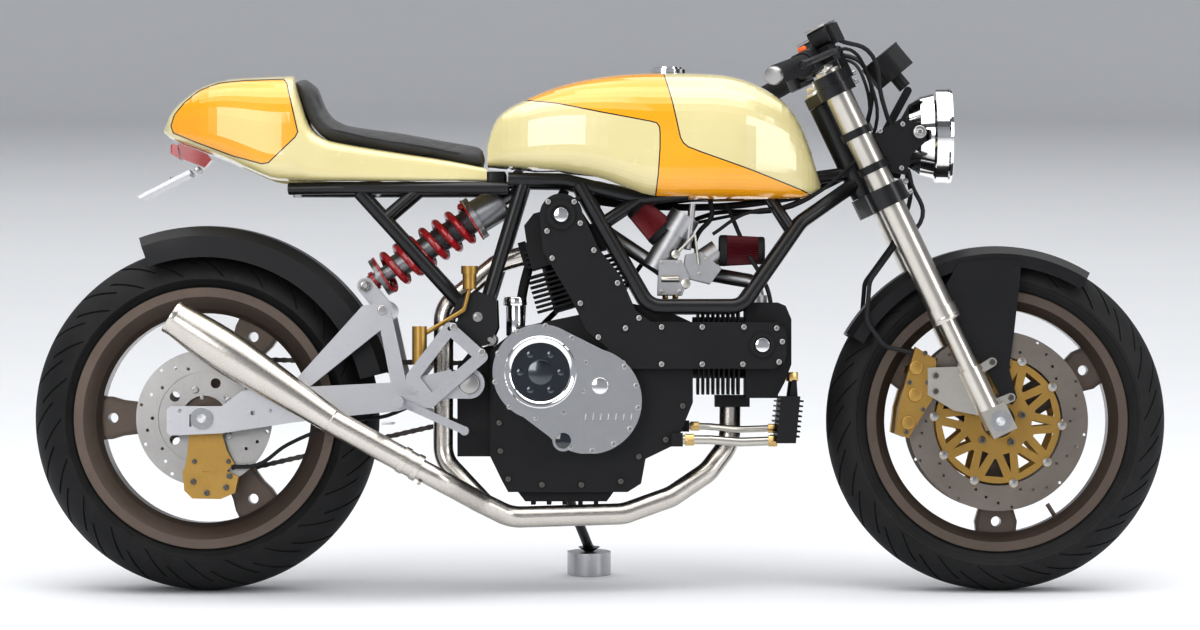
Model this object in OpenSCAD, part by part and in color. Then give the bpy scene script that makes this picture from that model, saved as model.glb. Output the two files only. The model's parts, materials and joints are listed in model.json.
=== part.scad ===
// Cafe racer motorcycle with a V-twin engine, parked on its side stand.
// Design frame, in mm: X forward from the rear axle, Y to the rider's left, Z up from the floor.
// Every piece is drawn upright in that frame, and parked() leans it over and centres it.

/* [Stance] */
// lean to the left on the side stand, degrees
lean = 5; // [3:0.5:9]
// distance between the two axles
wheelbase = 1411; // [1380:1:1440]
// steering axis angle from the vertical, degrees
rake = 25.5; // [23:0.5:28]
// design X of the finished object's origin
base_x = 703; // [600:1:800]
// leaned Y of the finished object's origin
base_y = 79; // [-50:1:150]

/* [Rear wheel] */
// rear tyre outer radius
rear_tyre_r = 308; // [290:1:325]
// rear tyre width
rear_tyre_w = 170; // [150:1:190]
// rear tyre tread crown radius, across the tyre
rear_crown = 90; // [80:1:110]
// rear rim width over the lips
rear_rim_w = 152; // [140:1:160]
// rear barrel inner radius
rear_barrel_r = 187; // [180:1:192]
// rear brake disc radius
rear_disc_r = 121; // [110:1:130]
// rear sprocket radius
rear_sprocket_r = 99; // [90:1:110]

/* [Front wheel] */
// front tyre outer radius
front_tyre_r = 303; // [290:1:315]
// front tyre width
front_tyre_w = 120; // [110:1:130]
// front tyre tread crown radius, across the tyre
front_crown = 62; // [58:1:80]
// front rim width over the lips
front_rim_w = 101; // [95:1:106]
// front barrel inner radius
front_barrel_r = 200; // [192:1:204]
// front brake disc radius
front_disc_r = 160; // [150:1:165]

/* [Rims] */
// radius of the rim lips
lip_r = 233; // [230:0.5:236]
// radius of the tyre's bead seat
bead_r = 218.5; // [217:0.5:220]
// width of a wheel spoke at its waist
spoke_w = 58; // [40:1:70]
// number of spokes in each wheel
spokes = 3; // [3:1:5]

/* [Fork] */
// distance of each fork leg from the centre plane
leg_y = 101; // [98:1:110]
// fork legs' lead over the steering axis
fork_lead = 28; // [24:1:34]
// upper fork tube radius
tube_r = 24; // [21:0.5:25]
// slider radius
slider_r = 17; // [15:0.5:21]
// steering stem radius
stem_r = 15; // [12:0.5:17]
// sideways reach of each handlebar from the centre plane
bar_reach = 345; // [320:1:380]

/* [Frame] */
// radius of the main frame tubes
frame_r = 13; // [11:0.5:16]
// distance of the side tubes from the centre plane
frame_y = 100; // [90:1:110]
// distance of the seat rails from the centre plane
rail_y = 88; // [70:1:100]
// swingarm pivot position forward of the rear axle
pivot_x = 472; // [450:1:490]
// swingarm pivot height
pivot_z = 370; // [350:1:390]

/* [Bodywork] */
// greatest half width of the fuel tank
tank_half = 150; // [120:1:170]
// half width of the tail unit
tail_half = 118; // [90:1:140]
// half width of the seat pad
pad_half = 104; // [80:1:125]

/* [Stand] */
// stand puck radius, wider than the foot
puck_r = 40; // [30:1:60]
// stand puck height
puck_h = 42; // [30:1:60]
// stand foot position forward of the rear axle
foot_x = 683; // [640:1:720]
// leaned distance of the stand foot from the wheel line
foot_y = 225; // [190:1:260]

// flat radius under the stand foot, which rolls up from there as it folds
foot_flat = 8; // [6:0.5:10]
// radius over the stand foot
foot_r = 20; // [16:1:26]

/* [Running clearances] */
// radial clearance between a turning part and its shaft
run_gap = 0.05; // [0.02:0.01:0.1]
// gap left between separate pieces that sit together
seat_gap = 0.3; // [0.1:0.1:1]

/* [Hidden] */
$fn = 48;

black = [0.06, 0.06, 0.065];
alloy = [0.72, 0.73, 0.75];
gold = [0.72, 0.56, 0.22];
cream = [0.84, 0.80, 0.61];
bronze = [0.35, 0.30, 0.27];
rubber = [0.09, 0.09, 0.095];

rear_z = rear_tyre_r - rear_crown + rear_crown / cos(lean);
front_z = front_tyre_r - front_crown + front_crown / cos(lean);
rear_at = [0, 0, rear_z];
front_at = [wheelbase, 0, front_z];
// foot of the steering axis, in the middle of the lower clamp
steer_x = 1187;
steer_z = 690;
// places along the steering axis, from that foot
top_clamp_z = 209;
tube_top = 240;
tube_low = -232;
slider_low = -339;
bar_z = 270;
axle_x = (wheelbase - steer_x) * cos(rake) + (front_z - steer_z) * sin(rake);
axle_z = -(wheelbase - steer_x) * sin(rake) + (front_z - steer_z) * cos(rake);
axle_r = 12.5;
// brake discs and their carriers, distances from the centre plane
disc_y = 64;
disc_t = 5;
carrier_r = 112;
// chain run
chain_y = 97;
chain_w = 12;
chain_t = 12;
drive_x = 540;
drive_z = 365;
drive_r = 34;
arm_in = 106;
arm_out = 134;
// side stand pivot and its axis, tilted out and then forward from the vertical
stand_pivot = [633, 99, 188];
stand_tilt = 28;
stand_swing = 18;
// pivot centre to the knee of the stand's leg
stand_knee = 24;

// ---------- helpers ----------

// leans the upright bike over and centres it on the object's origin
module parked() translate([-base_x, -base_y, 0]) rotate([-lean, 0, 0]) children();

// steering frame: Z up along the steering axis, X forward across it
module steer() translate([steer_x, 0, steer_z]) rotate([0, -rake, 0]) children();

// wheel frame: Z along the axle towards the bike's right side
module wheel(at) translate(at) rotate([90, 0, 0]) children();

// a side-view outline given thickness from y0 to y1
module side(y0, y1) translate([0, y1, 0]) rotate([90, 0, 0]) linear_extrude(y1 - y0) children();

// the same shape on both sides of the bike
module both() {
    children();
    mirror([0, 1, 0]) children();
}

// round bar from a to b
module rod(a, b, r, r2 = undef) {
    d = b - a;
    translate(a) rotate([0, acos(d.z / norm(d)), atan2(d.y, d.x)])
        cylinder(h = norm(d), r1 = r, r2 = is_undef(r2) ? r : r2);
}

// quarter-ring style bend at corner b, from direction u to direction v
module elbow(b, u, v, r, bend) {
    ang = acos(u * v);
    w = (v - u) / norm(v - u);
    c = b + w * bend / cos(ang / 2);
    x = (b - u * bend * tan(ang / 2) - c) / bend;
    z = cross(x, u);
    multmatrix([[x.x, u.x, z.x, c.x], [x.y, u.y, z.y, c.y], [x.z, u.z, z.z, c.z], [0, 0, 0, 1]])
        rotate_extrude(angle = ang, $fn = 96) translate([bend, 0]) circle(r);
}

// round tube along a list of points, bent at each inner one
module pipe(p, r, bend) {
    n = len(p) - 1;
    d = [for (i = [0:n - 1]) (p[i + 1] - p[i]) / norm(p[i + 1] - p[i])];
    cut = [for (i = [0:n]) i == 0 || i == n ? 0 : bend * tan(acos(d[i - 1] * d[i]) / 2)];
    // each straight runs a little way into its slightly thicker bends
    lap = 1.2;
    for (i = [0:n - 1]) rod(p[i] + d[i] * (cut[i] - (i == 0 ? 0 : lap)),
        p[i + 1] - d[i] * (cut[i + 1] - (i == n - 1 ? 0 : lap)), r);
    for (i = [1:n - 1]) elbow(p[i], d[i - 1], d[i], r + 0.15, bend);
}

// points on an arc
function arc(c, r, a0, a1, n) = [for (i = [0:n]) let (a = a0 + (a1 - a0) * i / n)
    c + r * [cos(a), sin(a)]];

function flip(points) = [for (i = [len(points) - 1:-1:0]) [points[i].x, -points[i].y]];

// smooth curve through a table of [x, value] rows
function seg(t, x, i = 0) = i >= len(t) - 2 || x <= t[i + 1][0] ? i : seg(t, x, i + 1);
function curve(t, x) =
    let (i = seg(t, x), a = t[max(i - 1, 0)], b = t[i], c = t[i + 1],
        d = t[min(i + 2, len(t) - 1)], w = c[0] - b[0], u = (x - b[0]) / w,
        m = (c[1] - a[1]) / (c[0] - a[0]) * w, k = (d[1] - b[1]) / (d[0] - b[0]) * w)
    (2 * u * u * u - 3 * u * u + 1) * b[1] + (u * u * u - 2 * u * u + u) * m
    + (-2 * u * u * u + 3 * u * u) * c[1] + (u * u * u - u * u) * k;

function sgn_pow(v, p) = sign(v) * pow(abs(v), p);

// closed body lofted along X through rounded-box sections
// sections, squarer where the powers p_top and p_low are smaller
module loft(xs, top, bottom, half, p_top, p_low, n = 48) {
    rings = [for (x = xs) let (zt = curve(top, x), zb = curve(bottom, x),
            w = max(curve(half, x), 0.5), zm = zb + (zt - zb) * 0.42)
        [for (j = [0:n - 1]) let (a = 360 * (j + 0.5) / n, up = sin(a) > 0,
                p = up ? lookup(x, p_top) : lookup(x, p_low))
            [x, w * sgn_pow(cos(a), p), zm + (up ? zt - zm : zm - zb) * sgn_pow(sin(a), p)]]];
    last = len(xs) - 1;
    polyhedron([for (r = rings) each r], concat(
        [[for (j = [0:n - 1]) j]],
        [for (i = [0:last - 1]) for (j = [0:n - 1]) let (k = (j + 1) % n)
            each [[i * n + j, (i + 1) * n + j, (i + 1) * n + k], [i * n + j, (i + 1) * n + k, i * n + k]]],
        [[for (j = [n - 1:-1:0]) last * n + j]]), convexity = 6);
}

// stations from a to b, closer together near both ends
function stations(a, b, n) = [for (i = [0:n]) (a + b) / 2 - (b - a) / 2 * cos(180 * i / n)];

// ring in a wheel frame between two radii and two distances from the centre plane
module ring(r_out, r_in, z0, z1) translate([0, 0, z0]) difference() {
    cylinder(h = z1 - z0, r = r_out, $fn = 96);
    translate([0, 0, -1]) cylinder(h = z1 - z0 + 2, r = r_in, $fn = 96);
}

// bar with round ends in the side view
module link2d(a, b, w) {
    d = b - a;
    n = [-d.y, d.x] / norm(d) * w / 2;
    translate(a) circle(w / 2);
    translate(b) circle(w / 2);
    polygon([a + n, b + n, b - n, a - n]);
}

// outline of a belt around two wheels
module belt2d(c0, r0, c1, r1) hull() {
    translate(c0) circle(r0, $fn = 72);
    translate(c1) circle(r1, $fn = 32);
}

// ---------- wheels ----------

// hollow tyre: crown, side walls and beads
module tyre_body(r, w, crown, rim_w) {
    edge = rim_w / 2 - 6 - seat_gap;
    swing = asin(min(0.97, (w / 2) / crown));
    wall = 11;
    shoulder = [r - crown + crown * cos(swing), w / 2];
    half = concat(arc([r - crown, 0], crown, 0, swing, 10),
        [[(shoulder.x + lip_r + 4) / 2 + 3, w / 2 + 0.5], [lip_r + 3, edge + 4], [lip_r, edge],
        [bead_r, edge], [bead_r, edge - 16], [bead_r + 8, edge - 16], [lip_r + 6, edge - 6]],
        arc([r - crown, 0], crown - wall, swing - 8, 0, 8));
    rotate_extrude($fn = 120) polygon(concat(half, flip(half)));
}

// one-piece rim barrel with drop centre and lips
module rim_barrel(w, barrel_r) {
    h = w / 2;
    half = [[barrel_r + 10, 0], [barrel_r + 10, h * 0.5], [bead_r - seat_gap, h - 24],
        [bead_r - seat_gap, h - 6], [lip_r - 1, h - 6], [lip_r, h - 5], [lip_r, h - 1], [lip_r - 1, h],
        [lip_r - 17, h], [barrel_r + 8, h * 0.72], [barrel_r, h * 0.5], [barrel_r, 0]];
    rotate_extrude($fn = 120) polygon(concat(half, flip(half)));
}

// one spoke along +X, flared at both ends, with a hole near the rim
module spoke(r_in, r_out, t, hole_r, flare) {
    w = spoke_w / 2;
    right = [[r_in, w + 6], [r_in + 20, w + 1], [r_in + 45, w], [r_out - 70, w], [r_out - 45, w + 3],
        [r_out - 25, w + 9], [r_out - 10, w + flare * 0.7], [r_out, w + flare]];
    for (s = [0:2]) translate([0, 0, -t + s * 3]) linear_extrude(2 * (t - s * 3)) difference() {
        polygon(concat([for (p = right) [p.x, p.y - (2 - s) * 3]],
            flip([for (p = right) [p.x, p.y - (2 - s) * 3]])));
        translate([hole_r, 0]) circle(9);
    }
}

module rear_rim() color(bronze) parked() wheel(rear_at) {
    rim_barrel(rear_rim_w, rear_barrel_r);
    for (i = [0:spokes - 1]) rotate(180 + 360 / spokes * i)
        spoke(38, rear_barrel_r + 7, 24, 167, 14);
    difference() {
        union() {
            cylinder(h = 140, r = 46, center = true);
            cylinder(h = 100, r = 58, center = true);
        }
        cylinder(h = 200, r = axle_r + run_gap, center = true);
        for (s = [-1, 1]) translate([0, 0, s * 70]) cylinder(h = 16, r = 24, center = true);
    }
}

module rear_tyre() color(rubber) parked() wheel(rear_at)
    tyre_body(rear_tyre_r, rear_tyre_w, rear_crown, rear_rim_w);

module rear_disc() color(alloy) parked() wheel(rear_at) translate([0, 0, 70]) difference() {
    union() {
        ring(rear_disc_r, 82, 6, 11);
        ring(84, 40, 0, 8);
    }
    for (i = [0:29]) rotate(12 * i) translate([92 + 11 * (i % 3), 0, -1]) cylinder(h = 14, r = 3, $fn = 16);
    for (i = [0:4]) rotate(72 * i) translate([65, 0, -1]) cylinder(h = 14, r = 9);
}

module rear_sprocket() color(black) parked() wheel(rear_at) translate([0, 0, -chain_y - 3]) {
    difference() {
        union() {
            cylinder(h = 6, r = rear_sprocket_r, $fn = 96);
            cylinder(h = chain_y + 3 - 70, r = 60);
        }
        translate([0, 0, -1]) cylinder(h = 60, r = 36);
        for (i = [0:4]) rotate(72 * i) translate([77, 0, -1]) cylinder(h = 30, r = 9);
    }
}

module front_rim() color(bronze) parked() wheel(front_at) {
    rim_barrel(front_rim_w, front_barrel_r);
    for (i = [0:spokes - 1]) rotate(-90 + 360 / spokes * i)
        spoke(34, front_barrel_r + 5, 20, 180, 10);
    difference() {
        union() {
            cylinder(h = 2 * (disc_y - 4), r = 38, center = true);
            cylinder(h = 80, r = 50, center = true);
        }
        cylinder(h = 200, r = axle_r + run_gap, center = true);
        for (s = [-1, 1]) translate([0, 0, s * (disc_y - 4)]) cylinder(h = 14, r = 20, center = true);
    }
    // tyre valve
    rod([108.6, -173.8, 0], [93.3, -149.2, 0], 4);
}

module front_tyre() color(rubber) parked() wheel(front_at)
    tyre_body(front_tyre_r, front_tyre_w, front_crown, front_rim_w);

// angle of each disc button, ten round the wheel
function button(i) = 36 * i - 4;

module front_discs() color(alloy) parked() wheel(front_at) for (s = [0, 1]) mirror([0, 0, s])
    difference() {
        ring(front_disc_r, carrier_r + 3, disc_y, disc_y + disc_t);
        for (i = [0:9]) rotate(button(i)) translate([carrier_r + 2, 0, disc_y - 1])
            cylinder(h = disc_t + 2, r = 9);
        for (i = [0:39]) rotate(9 * i) translate([128 + 9 * (i % 4), 0, disc_y - 1])
            cylinder(h = disc_t + 2, r = 2.6, $fn = 16);
    }

module disc_carriers() color(gold) parked() wheel(front_at) for (s = [0, 1]) mirror([0, 0, s]) {
    translate([0, 0, disc_y]) linear_extrude(disc_t - 1) difference() {
        circle(carrier_r - 1, $fn = 96);
        circle(30);
        for (i = [0:9]) rotate(button(i)) {
            polygon([[60, -6], [60, 6], [94, 0]]);
            rotate(18) polygon([[68, -2], [68, 2], [99, 17], [99, -17]]);
        }
        for (i = [0:4]) rotate(72 * i + 14) translate([44, 0]) circle(4.2);
    }
    for (i = [0:9]) rotate(button(i)) translate([carrier_r + 2, 0, disc_y - 0.5])
        cylinder(h = disc_t + 1, r = 9 - seat_gap);
    ring(54, 30, disc_y - 4, disc_y + 1);
}

// ---------- frame ----------

// headstock ends, measured along the steering axis
head_low = 19;
head_high = top_clamp_z - 11;
function steer_point(z) = [steer_x - z * sin(rake), 0, steer_z + z * cos(rake)];

module main_frame() color(black) parked() {
    difference() {
        union() {
            both() {
                pipe([[540, rail_y, 733], [640, rail_y, 731], [773, 72, 699], [900, 44, 712],
                    steer_point(62) + [-12, 8, 0]], 12, 80);
                pipe([[665, rail_y, 724], [790, frame_y, 507], [955, frame_y - 2, 507], [1061, 56, 658],
                    steer_point(40) + [-12, 14, 0]], frame_r, 36);
                rod([566, 84, 726], [494, 80, 489], frame_r - 0.5);
                rod([707, 92, 655], [773, 73, 699], 10);
                rod([993, 32, 724], [1048, 61, 640], 9);
                side(91, 99) difference() {
                    polygon([[430, 476], [452, 520], [486, 534], [519, 520], [521, 470], [508, 440], [478, 436]]);
                    translate([446, 484]) circle(5);
                }
            }
            rod([557, -rail_y, 740], [557, rail_y, 740], 10);
            rod([800, -66, 702], [800, 66, 702], 10);
            side(-26, 26) link2d([557, 714], [557, 736], 26);
            steer() translate([0, 0, head_low]) cylinder(h = head_high - head_low, r = 25);
        }
        steer() translate([0, 0, head_low - 5]) cylinder(h = head_high, r = stem_r + run_gap);
        side(-19, 19) translate([557, 708]) square([60, 40], center = true);
    }
}

module rear_subframe() color(black) parked() {
    both() {
        pipe([[150, rail_y - 24, 716.6], [240, rail_y, 717.1], [539.7, rail_y, 717.1]], 11, 60);
        rod([275, rail_y - 4, 710], [462, 77, 504], frame_r - 0.5);
        rod([319, 83, 664], [377, rail_y - 1, 714], 9);
    }
    rod([158, 26 - rail_y, 714], [158, rail_y - 26, 714], 9);
    rod([300, -rail_y, 716], [300, rail_y, 716], 9);
}

// ---------- engine ----------

case_y = 78;

module crankcase() color(black) parked() difference() {
    union() {
        side(-case_y, case_y) polygon([[508, 240], [530, 195], [540, 177], [752, 177], [776, 192],
            [784, 236], [838, 262], [868, 336], [868, 478], [820, 500], [760, 512], [560, 470], [508, 430]]);
        side(-58, 58) polygon([[449, 240], [512, 240], [512, 440], [470, 426], [449, 400]]);
        side(-90.7, 90.7) link2d([508, 448], [486, 470], 22);
        side(-60, 60) polygon([[570, 160], [715, 160], [728, 178], [556, 178]]);
        for (i = [0:4]) side(-56, 56) translate([580 + 28 * i, 154]) square([8, 10]);
        // output shaft and drive sprocket
        wheel([drive_x, chain_y + 5, drive_z]) cylinder(h = chain_y - case_y + 10, r = 14);
        wheel([drive_x, chain_y + 3, drive_z]) cylinder(h = 6, r = drive_r - 0.8);
        // bosses for the oil lines
        side(-88, -66) translate([830, 258]) square([20, 24]);
        side(-50, -30) translate([840, 284]) square([22, 20]);
        // ears and pin for the side stand
        translate(stand_pivot) rotate([-stand_tilt, stand_swing, 0]) {
            for (s = [-1, 1]) translate([0, 0, s * 10]) {
                cylinder(h = 5, r = 14, center = true);
                translate([-13, -48, -2.5]) cube([26, 48, 5]);
            }
            cylinder(h = 24, r = 5, center = true);
        }
    }
    wheel([pivot_x, 0, pivot_z]) cylinder(h = 200, r = 12.1, center = true);
}

// rear barrel axis, leaning back from the vertical
rear_lean = 16;
fin_pitch = 9;

module fins(n, w, d) for (i = [0:n - 1]) translate([0, 0, i * fin_pitch])
    linear_extrude(3.4) difference() {
        square([w, d], center = true);
        for (a = [-1, 1], b = [-1, 1]) translate([a * w / 2, b * d / 2]) rotate(45)
            square(22, center = true);
    }

// frames of the two barrels: Z away from the crankshaft
module rear_bank() translate([684, 0, 478]) rotate([0, -rear_lean, 0]) children();
module front_bank() translate([868.5, 0, 434]) rotate([0, 90, 0]) children();

module cylinders() color(black) parked() {
    difference() {
        union() {
            rear_bank() {
                translate([0, 0, 34]) cylinder(h = 84, r = 55);
                translate([0, 0, 42]) fins(8, 168, 150);
                translate([-55, -55, 34]) cube([110, 110, 8]);
            }
        }
        side(-100, 100) polygon([[500, 300], [868.5, 300], [868.5, 478.5], [820, 500.5], [760, 512.5],
            [560, 470.5], [500, 430.5]]);
    }
    front_bank() {
        cylinder(h = 93, r = 55);
        translate([0, 0, 8]) fins(9, 168, 150);
    }
}

module cylinder_heads() color(alloy) parked() {
    rear_bank() difference() {
        union() {
            translate([-72, -70, 118.3]) cube([138, 140, 50]);
            translate([-8, 0, 168]) rotate([90, 0, 0]) translate([0, 0, -70]) linear_extrude(140)
                polygon([[-60, 0], [-56, 30], [-34, 46], [26, 46], [48, 32], [58, 0]]);
            translate([-84, -46, 124]) cube([14, 52, 48]);
            fin_stack();
        }
        translate([-60, -20, 148]) rotate([0, -90, 0]) cylinder(h = 40, r = 18.1);
        translate([60, 0, 148]) rotate([0, 90, 0]) cylinder(h = 40, r = 18.1);
    }
    front_bank() difference() {
        union() {
            translate([-80, -70, 93.3]) cube([170, 140, 58]);
            translate([0, 0, 151]) rotate([90, 0, 0]) translate([0, 0, -70]) linear_extrude(140)
                polygon([[-80, 0], [-74, 14], [-50, 24], [30, 24], [62, 12], [84, 0]]);
            translate([84.6, -30, 40]) cube([21.4, 60, 62]);
        }
        translate([92, 0, 67.5]) rotate([0, 90, 0]) cylinder(h = 30, r = 19.6);
    }
}

// short fins on the rear head
module fin_stack() for (i = [0:3]) translate([-78, -66, 122 + 9 * i]) cube([150, 132, 3.4]);

cover_y = -104;

// outline of the clutch cover: the clutch bulge and the lower lobe
module clutch_outline(grow = 0) {
    translate([598, 390]) circle(85 + grow, $fn = 96);
    translate([683, 339]) circle(94 + grow, $fn = 96);
    polygon([[598, 390], [598, 390] + (85 + grow) * [cos(59), sin(59)],
        [683, 339] + (94 + grow) * [cos(52), sin(52)], [683, 339], [612, 277], [555, 320]]);
}

module belt_covers() color(black) parked() {
    side(cover_y, -case_y - seat_gap) difference() {
        union() {
            translate([634, 669]) circle(38);
            polygon([[596, 669], [602, 604], [652, 520], [680, 462], [720, 430], [790, 440],
                [806, 470], [766, 500], [740, 560], [700, 610], [672, 672]]);
            polygon([[719, 396], [1012, 396], [1030, 408], [1034, 420], [1034, 456], [1030, 468],
                [1018, 478], [735, 480], [716, 440]]);
        }
        clutch_outline(0.6);
    }
    side(cover_y - 4, cover_y) difference() {
        union() {
            translate([634, 669]) circle(26);
            translate([991, 438]) circle(22);
        }
        translate([634, 669]) circle(18);
        translate([991, 438]) circle(15);
    }
}

module clutch_cover() color(alloy) parked() difference() {
    union() {
        side(-126, -case_y - seat_gap) difference() {
            clutch_outline();
            translate([700, 186]) square([400, 120], center = true);
        }
        wheel([598, -126, 390]) ring(80, 53, 0, 10);
        wheel([598, -136, 390]) ring(62, 53, 0, 5);
        wheel([638, -126, 269]) ring(19, 14, 0, 5);
        wheel([703, -126, 366]) cylinder(h = 7, r = 18);
        side(-131, -126) polygon([[664, 302], [768, 302], [772, 321], [668, 321]]);
        for (i = [0:9]) wheel([598 + 82 * cos(36 * i + 12), -126, 390 + 82 * sin(36 * i + 12)])
            cylinder(h = 5, r = 5.5);
    }
    wheel([598, -119, 390]) cylinder(h = 60, r = 52.7);
}

module clutch_window() color([0.08, 0.10, 0.13]) parked() wheel([598, -119.3, 390])
    cylinder(h = 17, r = 52.4);

module left_covers() color(black) parked() {
    side(case_y + seat_gap, 116) difference() {
        union() {
            translate([640, 372]) circle(86, $fn = 96);
            translate([690, 330]) circle(84, $fn = 96);
        }
        translate([540, 365]) circle(62);
    }
    wheel([650, 122, 372]) cylinder(h = 8, r = 54);
    side(104.5, 112) difference() {
        translate([540, 365]) circle(60);
        translate([pivot_x - 4, pivot_z]) circle(38);
    }
    for (a = [70, 5, -65]) wheel([540 + 53 * cos(a), 105, 365 + 53 * sin(a)])
        cylinder(h = 105 - case_y - seat_gap, r = 4.5);
}

// ---------- fuel and air ----------

carb_y = 36;

// one carburettor at distance y; grow thickens its throat for the filters' mouths
module carburettor(y, grow = 0) {
    rod([800, y, 575], [838, y, 640], 23 + grow);
    rod([836, y, 637], [856, y, 671], 28 + grow);
    side(y - 28, y + 28) polygon([[806, 528], [850, 528], [862, 560], [848, 590], [808, 590]]);
    side(y - 22, y + 22) polygon([[850, 560], [900, 548], [920, 575], [884, 604], [856, 600]]);
    rod([866, y, 575], [914, y, 607], 21 + grow);
    rod([860, y - 18, 610], [868, y - 18, 690], 6);
}

module carburettors() color(alloy) parked() {
    for (s = [-1, 1]) carburettor(s * carb_y);
    // intake stubs to the two heads
    rod([830, -28, 562], bank_point(74, 0, 148), 13);
    rod(bank_point(60.2, 0, 148), bank_point(84, 0, 148), 18);
    pipe([[880, 30, 570], [980, 8, 552], [986, 6, 517.4]], 13, 18);
    rod([986, 6, 514.2], [986, 6, 528], 17);
}

module air_filters() color([0.45, 0.08, 0.10]) parked() for (s = [-1, 1]) difference() {
    union() {
        rod([818, s * 32, 636], [766, s * 31, 688], 27, 22);
        rod([915, s * 34, 608], [998, s * 34, 608], 27, 24);
    }
    carburettor(s * carb_y, seat_gap);
}

// ---------- bodywork ----------

tank_top = [[503, 800], [512, 831], [530, 854], [557, 870], [611, 894], [656, 908], [701, 917],
    [755, 923], [830, 925], [917, 922], [953, 915], [989, 901], [1025, 879], [1043, 861],
    [1061, 835], [1075, 802], [1088, 760], [1099, 722]];
tank_low = [[503, 755], [575, 749], [647, 742], [701, 731], [737, 718], [773, 704], [800, 697],
    [930, 697], [1061, 699], [1080, 706], [1099, 718]];
tank_wide = [[503, 84], [540, 112], [600, 134], [680, 0.98 * tank_half], [780, tank_half],
    [880, 0.96 * tank_half], [960, 128], [1020, 104], [1060, 84], [1085, 62], [1099, 34]];

module fuel_tank() color(cream) parked() difference() {
    loft(stations(503, 1099, 44), tank_top, tank_low, tank_wide,
        [[503, 0.4], [700, 0.66], [1099, 0.6]], [[503, 0.45], [1099, 0.5]], 56);
    // tunnel over the frame rails, narrowing to the headstock
    side(-rail_y - 15, rail_y + 15) polygon([[490, 600], [490, 748], [629, 748], [701, 736], [773, 716],
        [860, 728], [860, 600]]);
    side(-70, 70) polygon([[850, 600], [850, 727], [960, 738], [960, 600]]);
    side(-52, 52) polygon([[950, 600], [950, 737], [1060, 751], [1060, 600]]);
    side(-38, 38) polygon([[1050, 600], [1050, 750], [1120, 764], [1120, 600]]);
}

module fuel_cap() color(alloy) parked() {
    translate([824, 0, 925.4]) cylinder(h = 7, r = 33);
    translate([824, 0, 932.4]) cylinder(h = 4, r = 27);
}

tail_top = [[-77, 826], [-64, 854], [-37, 881], [-1, 903], [44, 914], [89, 917], [143, 919],
    [158, 916], [168, 885], [181, 843], [192, 822], [212, 807], [233, 800], [341, 782], [431, 768],
    [502, 754]];
tail_low = [[-77, 818], [-64, 807], [-19, 789], [35, 768], [98, 741], [122, 732], [161, 729],
    [300, 728], [502, 728]];
tail_wide = [[-77, 22], [-64, 52], [-37, 76], [-1, 94], [44, 106], [100, 0.98 * tail_half],
    [160, tail_half], [260, 0.97 * tail_half], [400, 100], [502, 84]];

module tail_unit() color(cream) parked() difference() {
    loft(concat(stations(-77, 158, 22), [162, 168, 174, 181, 186, 192, 201, 212, 222, 233],
        [for (i = [1:8]) 233 + 269 * i / 8]), tail_top, tail_low, tail_wide,
        [[-77, 0.6], [150, 0.6], [210, 0.34], [502, 0.34]], [[-77, 0.5], [100, 0.3], [502, 0.3]], 48);
    side(-75, 75) polygon([[-20, 700], [-20, 760], [120, 760], [160, 745], [510, 738], [510, 700]]);
}

pad_top = [[160, 914], [164, 917], [172, 919], [185, 919], [191, 910], [206, 867], [214, 853],
    [224, 842], [251, 828], [341, 815], [431, 799], [480, 791], [500, 786]];
pad_low = [[160, 913], [163, 904], [170, 885.5], [183, 844.5], [194, 823], [214, 808.3], [235, 801.5],
    [341, 783.2], [431, 769.2], [500, 756.3]];
pad_wide = [[160, 70], [175, 82], [195, 88], [230, 0.97 * pad_half], [320, pad_half], [420, 92],
    [500, 78]];

module seat_pad() color(black) parked()
    loft([160, 162, 165, 169, 174, 180, 186, 192, 199, 206, 214, 224, 236, 250, 270, 300, 340, 380,
        420, 450, 475, 492, 500], pad_top, pad_low, pad_wide,
        [[160, 0.7], [500, 0.7]], [[160, 0.4], [500, 0.34]], 40);

module tail_light() parked() {
    color(black) side(-24, 24) polygon([[-52, 796], [-50, 800], [-30, 792.4], [0, 780.6], [8, 770], [-4, 756],
        [-46, 772]]);
    color([0.7, 0.05, 0.05]) side(-30, 30) polygon([[-62, 798], [-62, 780], [-48, 770], [-52.3, 796]]);
}

module plate_holder() color(alloy) parked() {
    side(-60, 60) polygon([[-120, 704], [-117, 699], [-26, 745], [-29, 751]]);
    side(-10, 10) polygon([[-34, 742], [-24, 738], [-5, 755.9], [-14, 759.3]]);
}

// ---------- rear end ----------

module swingarm() color(alloy) parked() difference() {
    union() {
        both() {
            side(arm_in, arm_out) polygon([[-62, 284], [-56, 278], [35, 282], [161, 301], [251, 312],
                [345, 321], [440, 345], [440, 395], [341, 372], [161, 363], [71, 357], [35, 330],
                [-56, 330], [-62, 324]]);
            side(arm_in + 4, arm_out - 2) polygon([[150, 360], [185, 360], [330, 476], [322, 512],
                [283, 507]]);
            side(arm_in + 4, arm_out - 2) polygon([[306, 512], [330, 512], [362, 368], [334, 368]]);
            wheel([pivot_x, -62, pivot_z]) cylinder(h = 66, r = 27);
            side(62, arm_out) polygon([[400, 344], [pivot_x, 343], [pivot_x, 397], [400, 384]]);
        }
        side(-arm_out + 4, arm_out - 4) polygon([[345, 323], [396, 330], [396, 374], [345, 368]]);
        rod([318, -arm_out + 6, 500], [318, arm_out - 6, 500], 19);
        side(-22, 22) link2d([283.5, 544.5], [318, 502], 30);
    }
    wheel([pivot_x, 0, pivot_z]) cylinder(h = 400, r = 12.1, center = true);
    wheel(rear_at) cylinder(h = 400, r = axle_r + run_gap, center = true);
    side(-14.5, 14.5) translate([281, 551]) circle(28);
    wheel([283.5, 0, 544.5]) cylinder(h = 60, r = 6, center = true);
    both() side(arm_in + 10, arm_out + 5) translate([-22, 294]) square([34, 22]);
    both() wheel([90, -arm_out + 20, 318]) cylinder(h = 20, r = 4.25);
}

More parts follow.
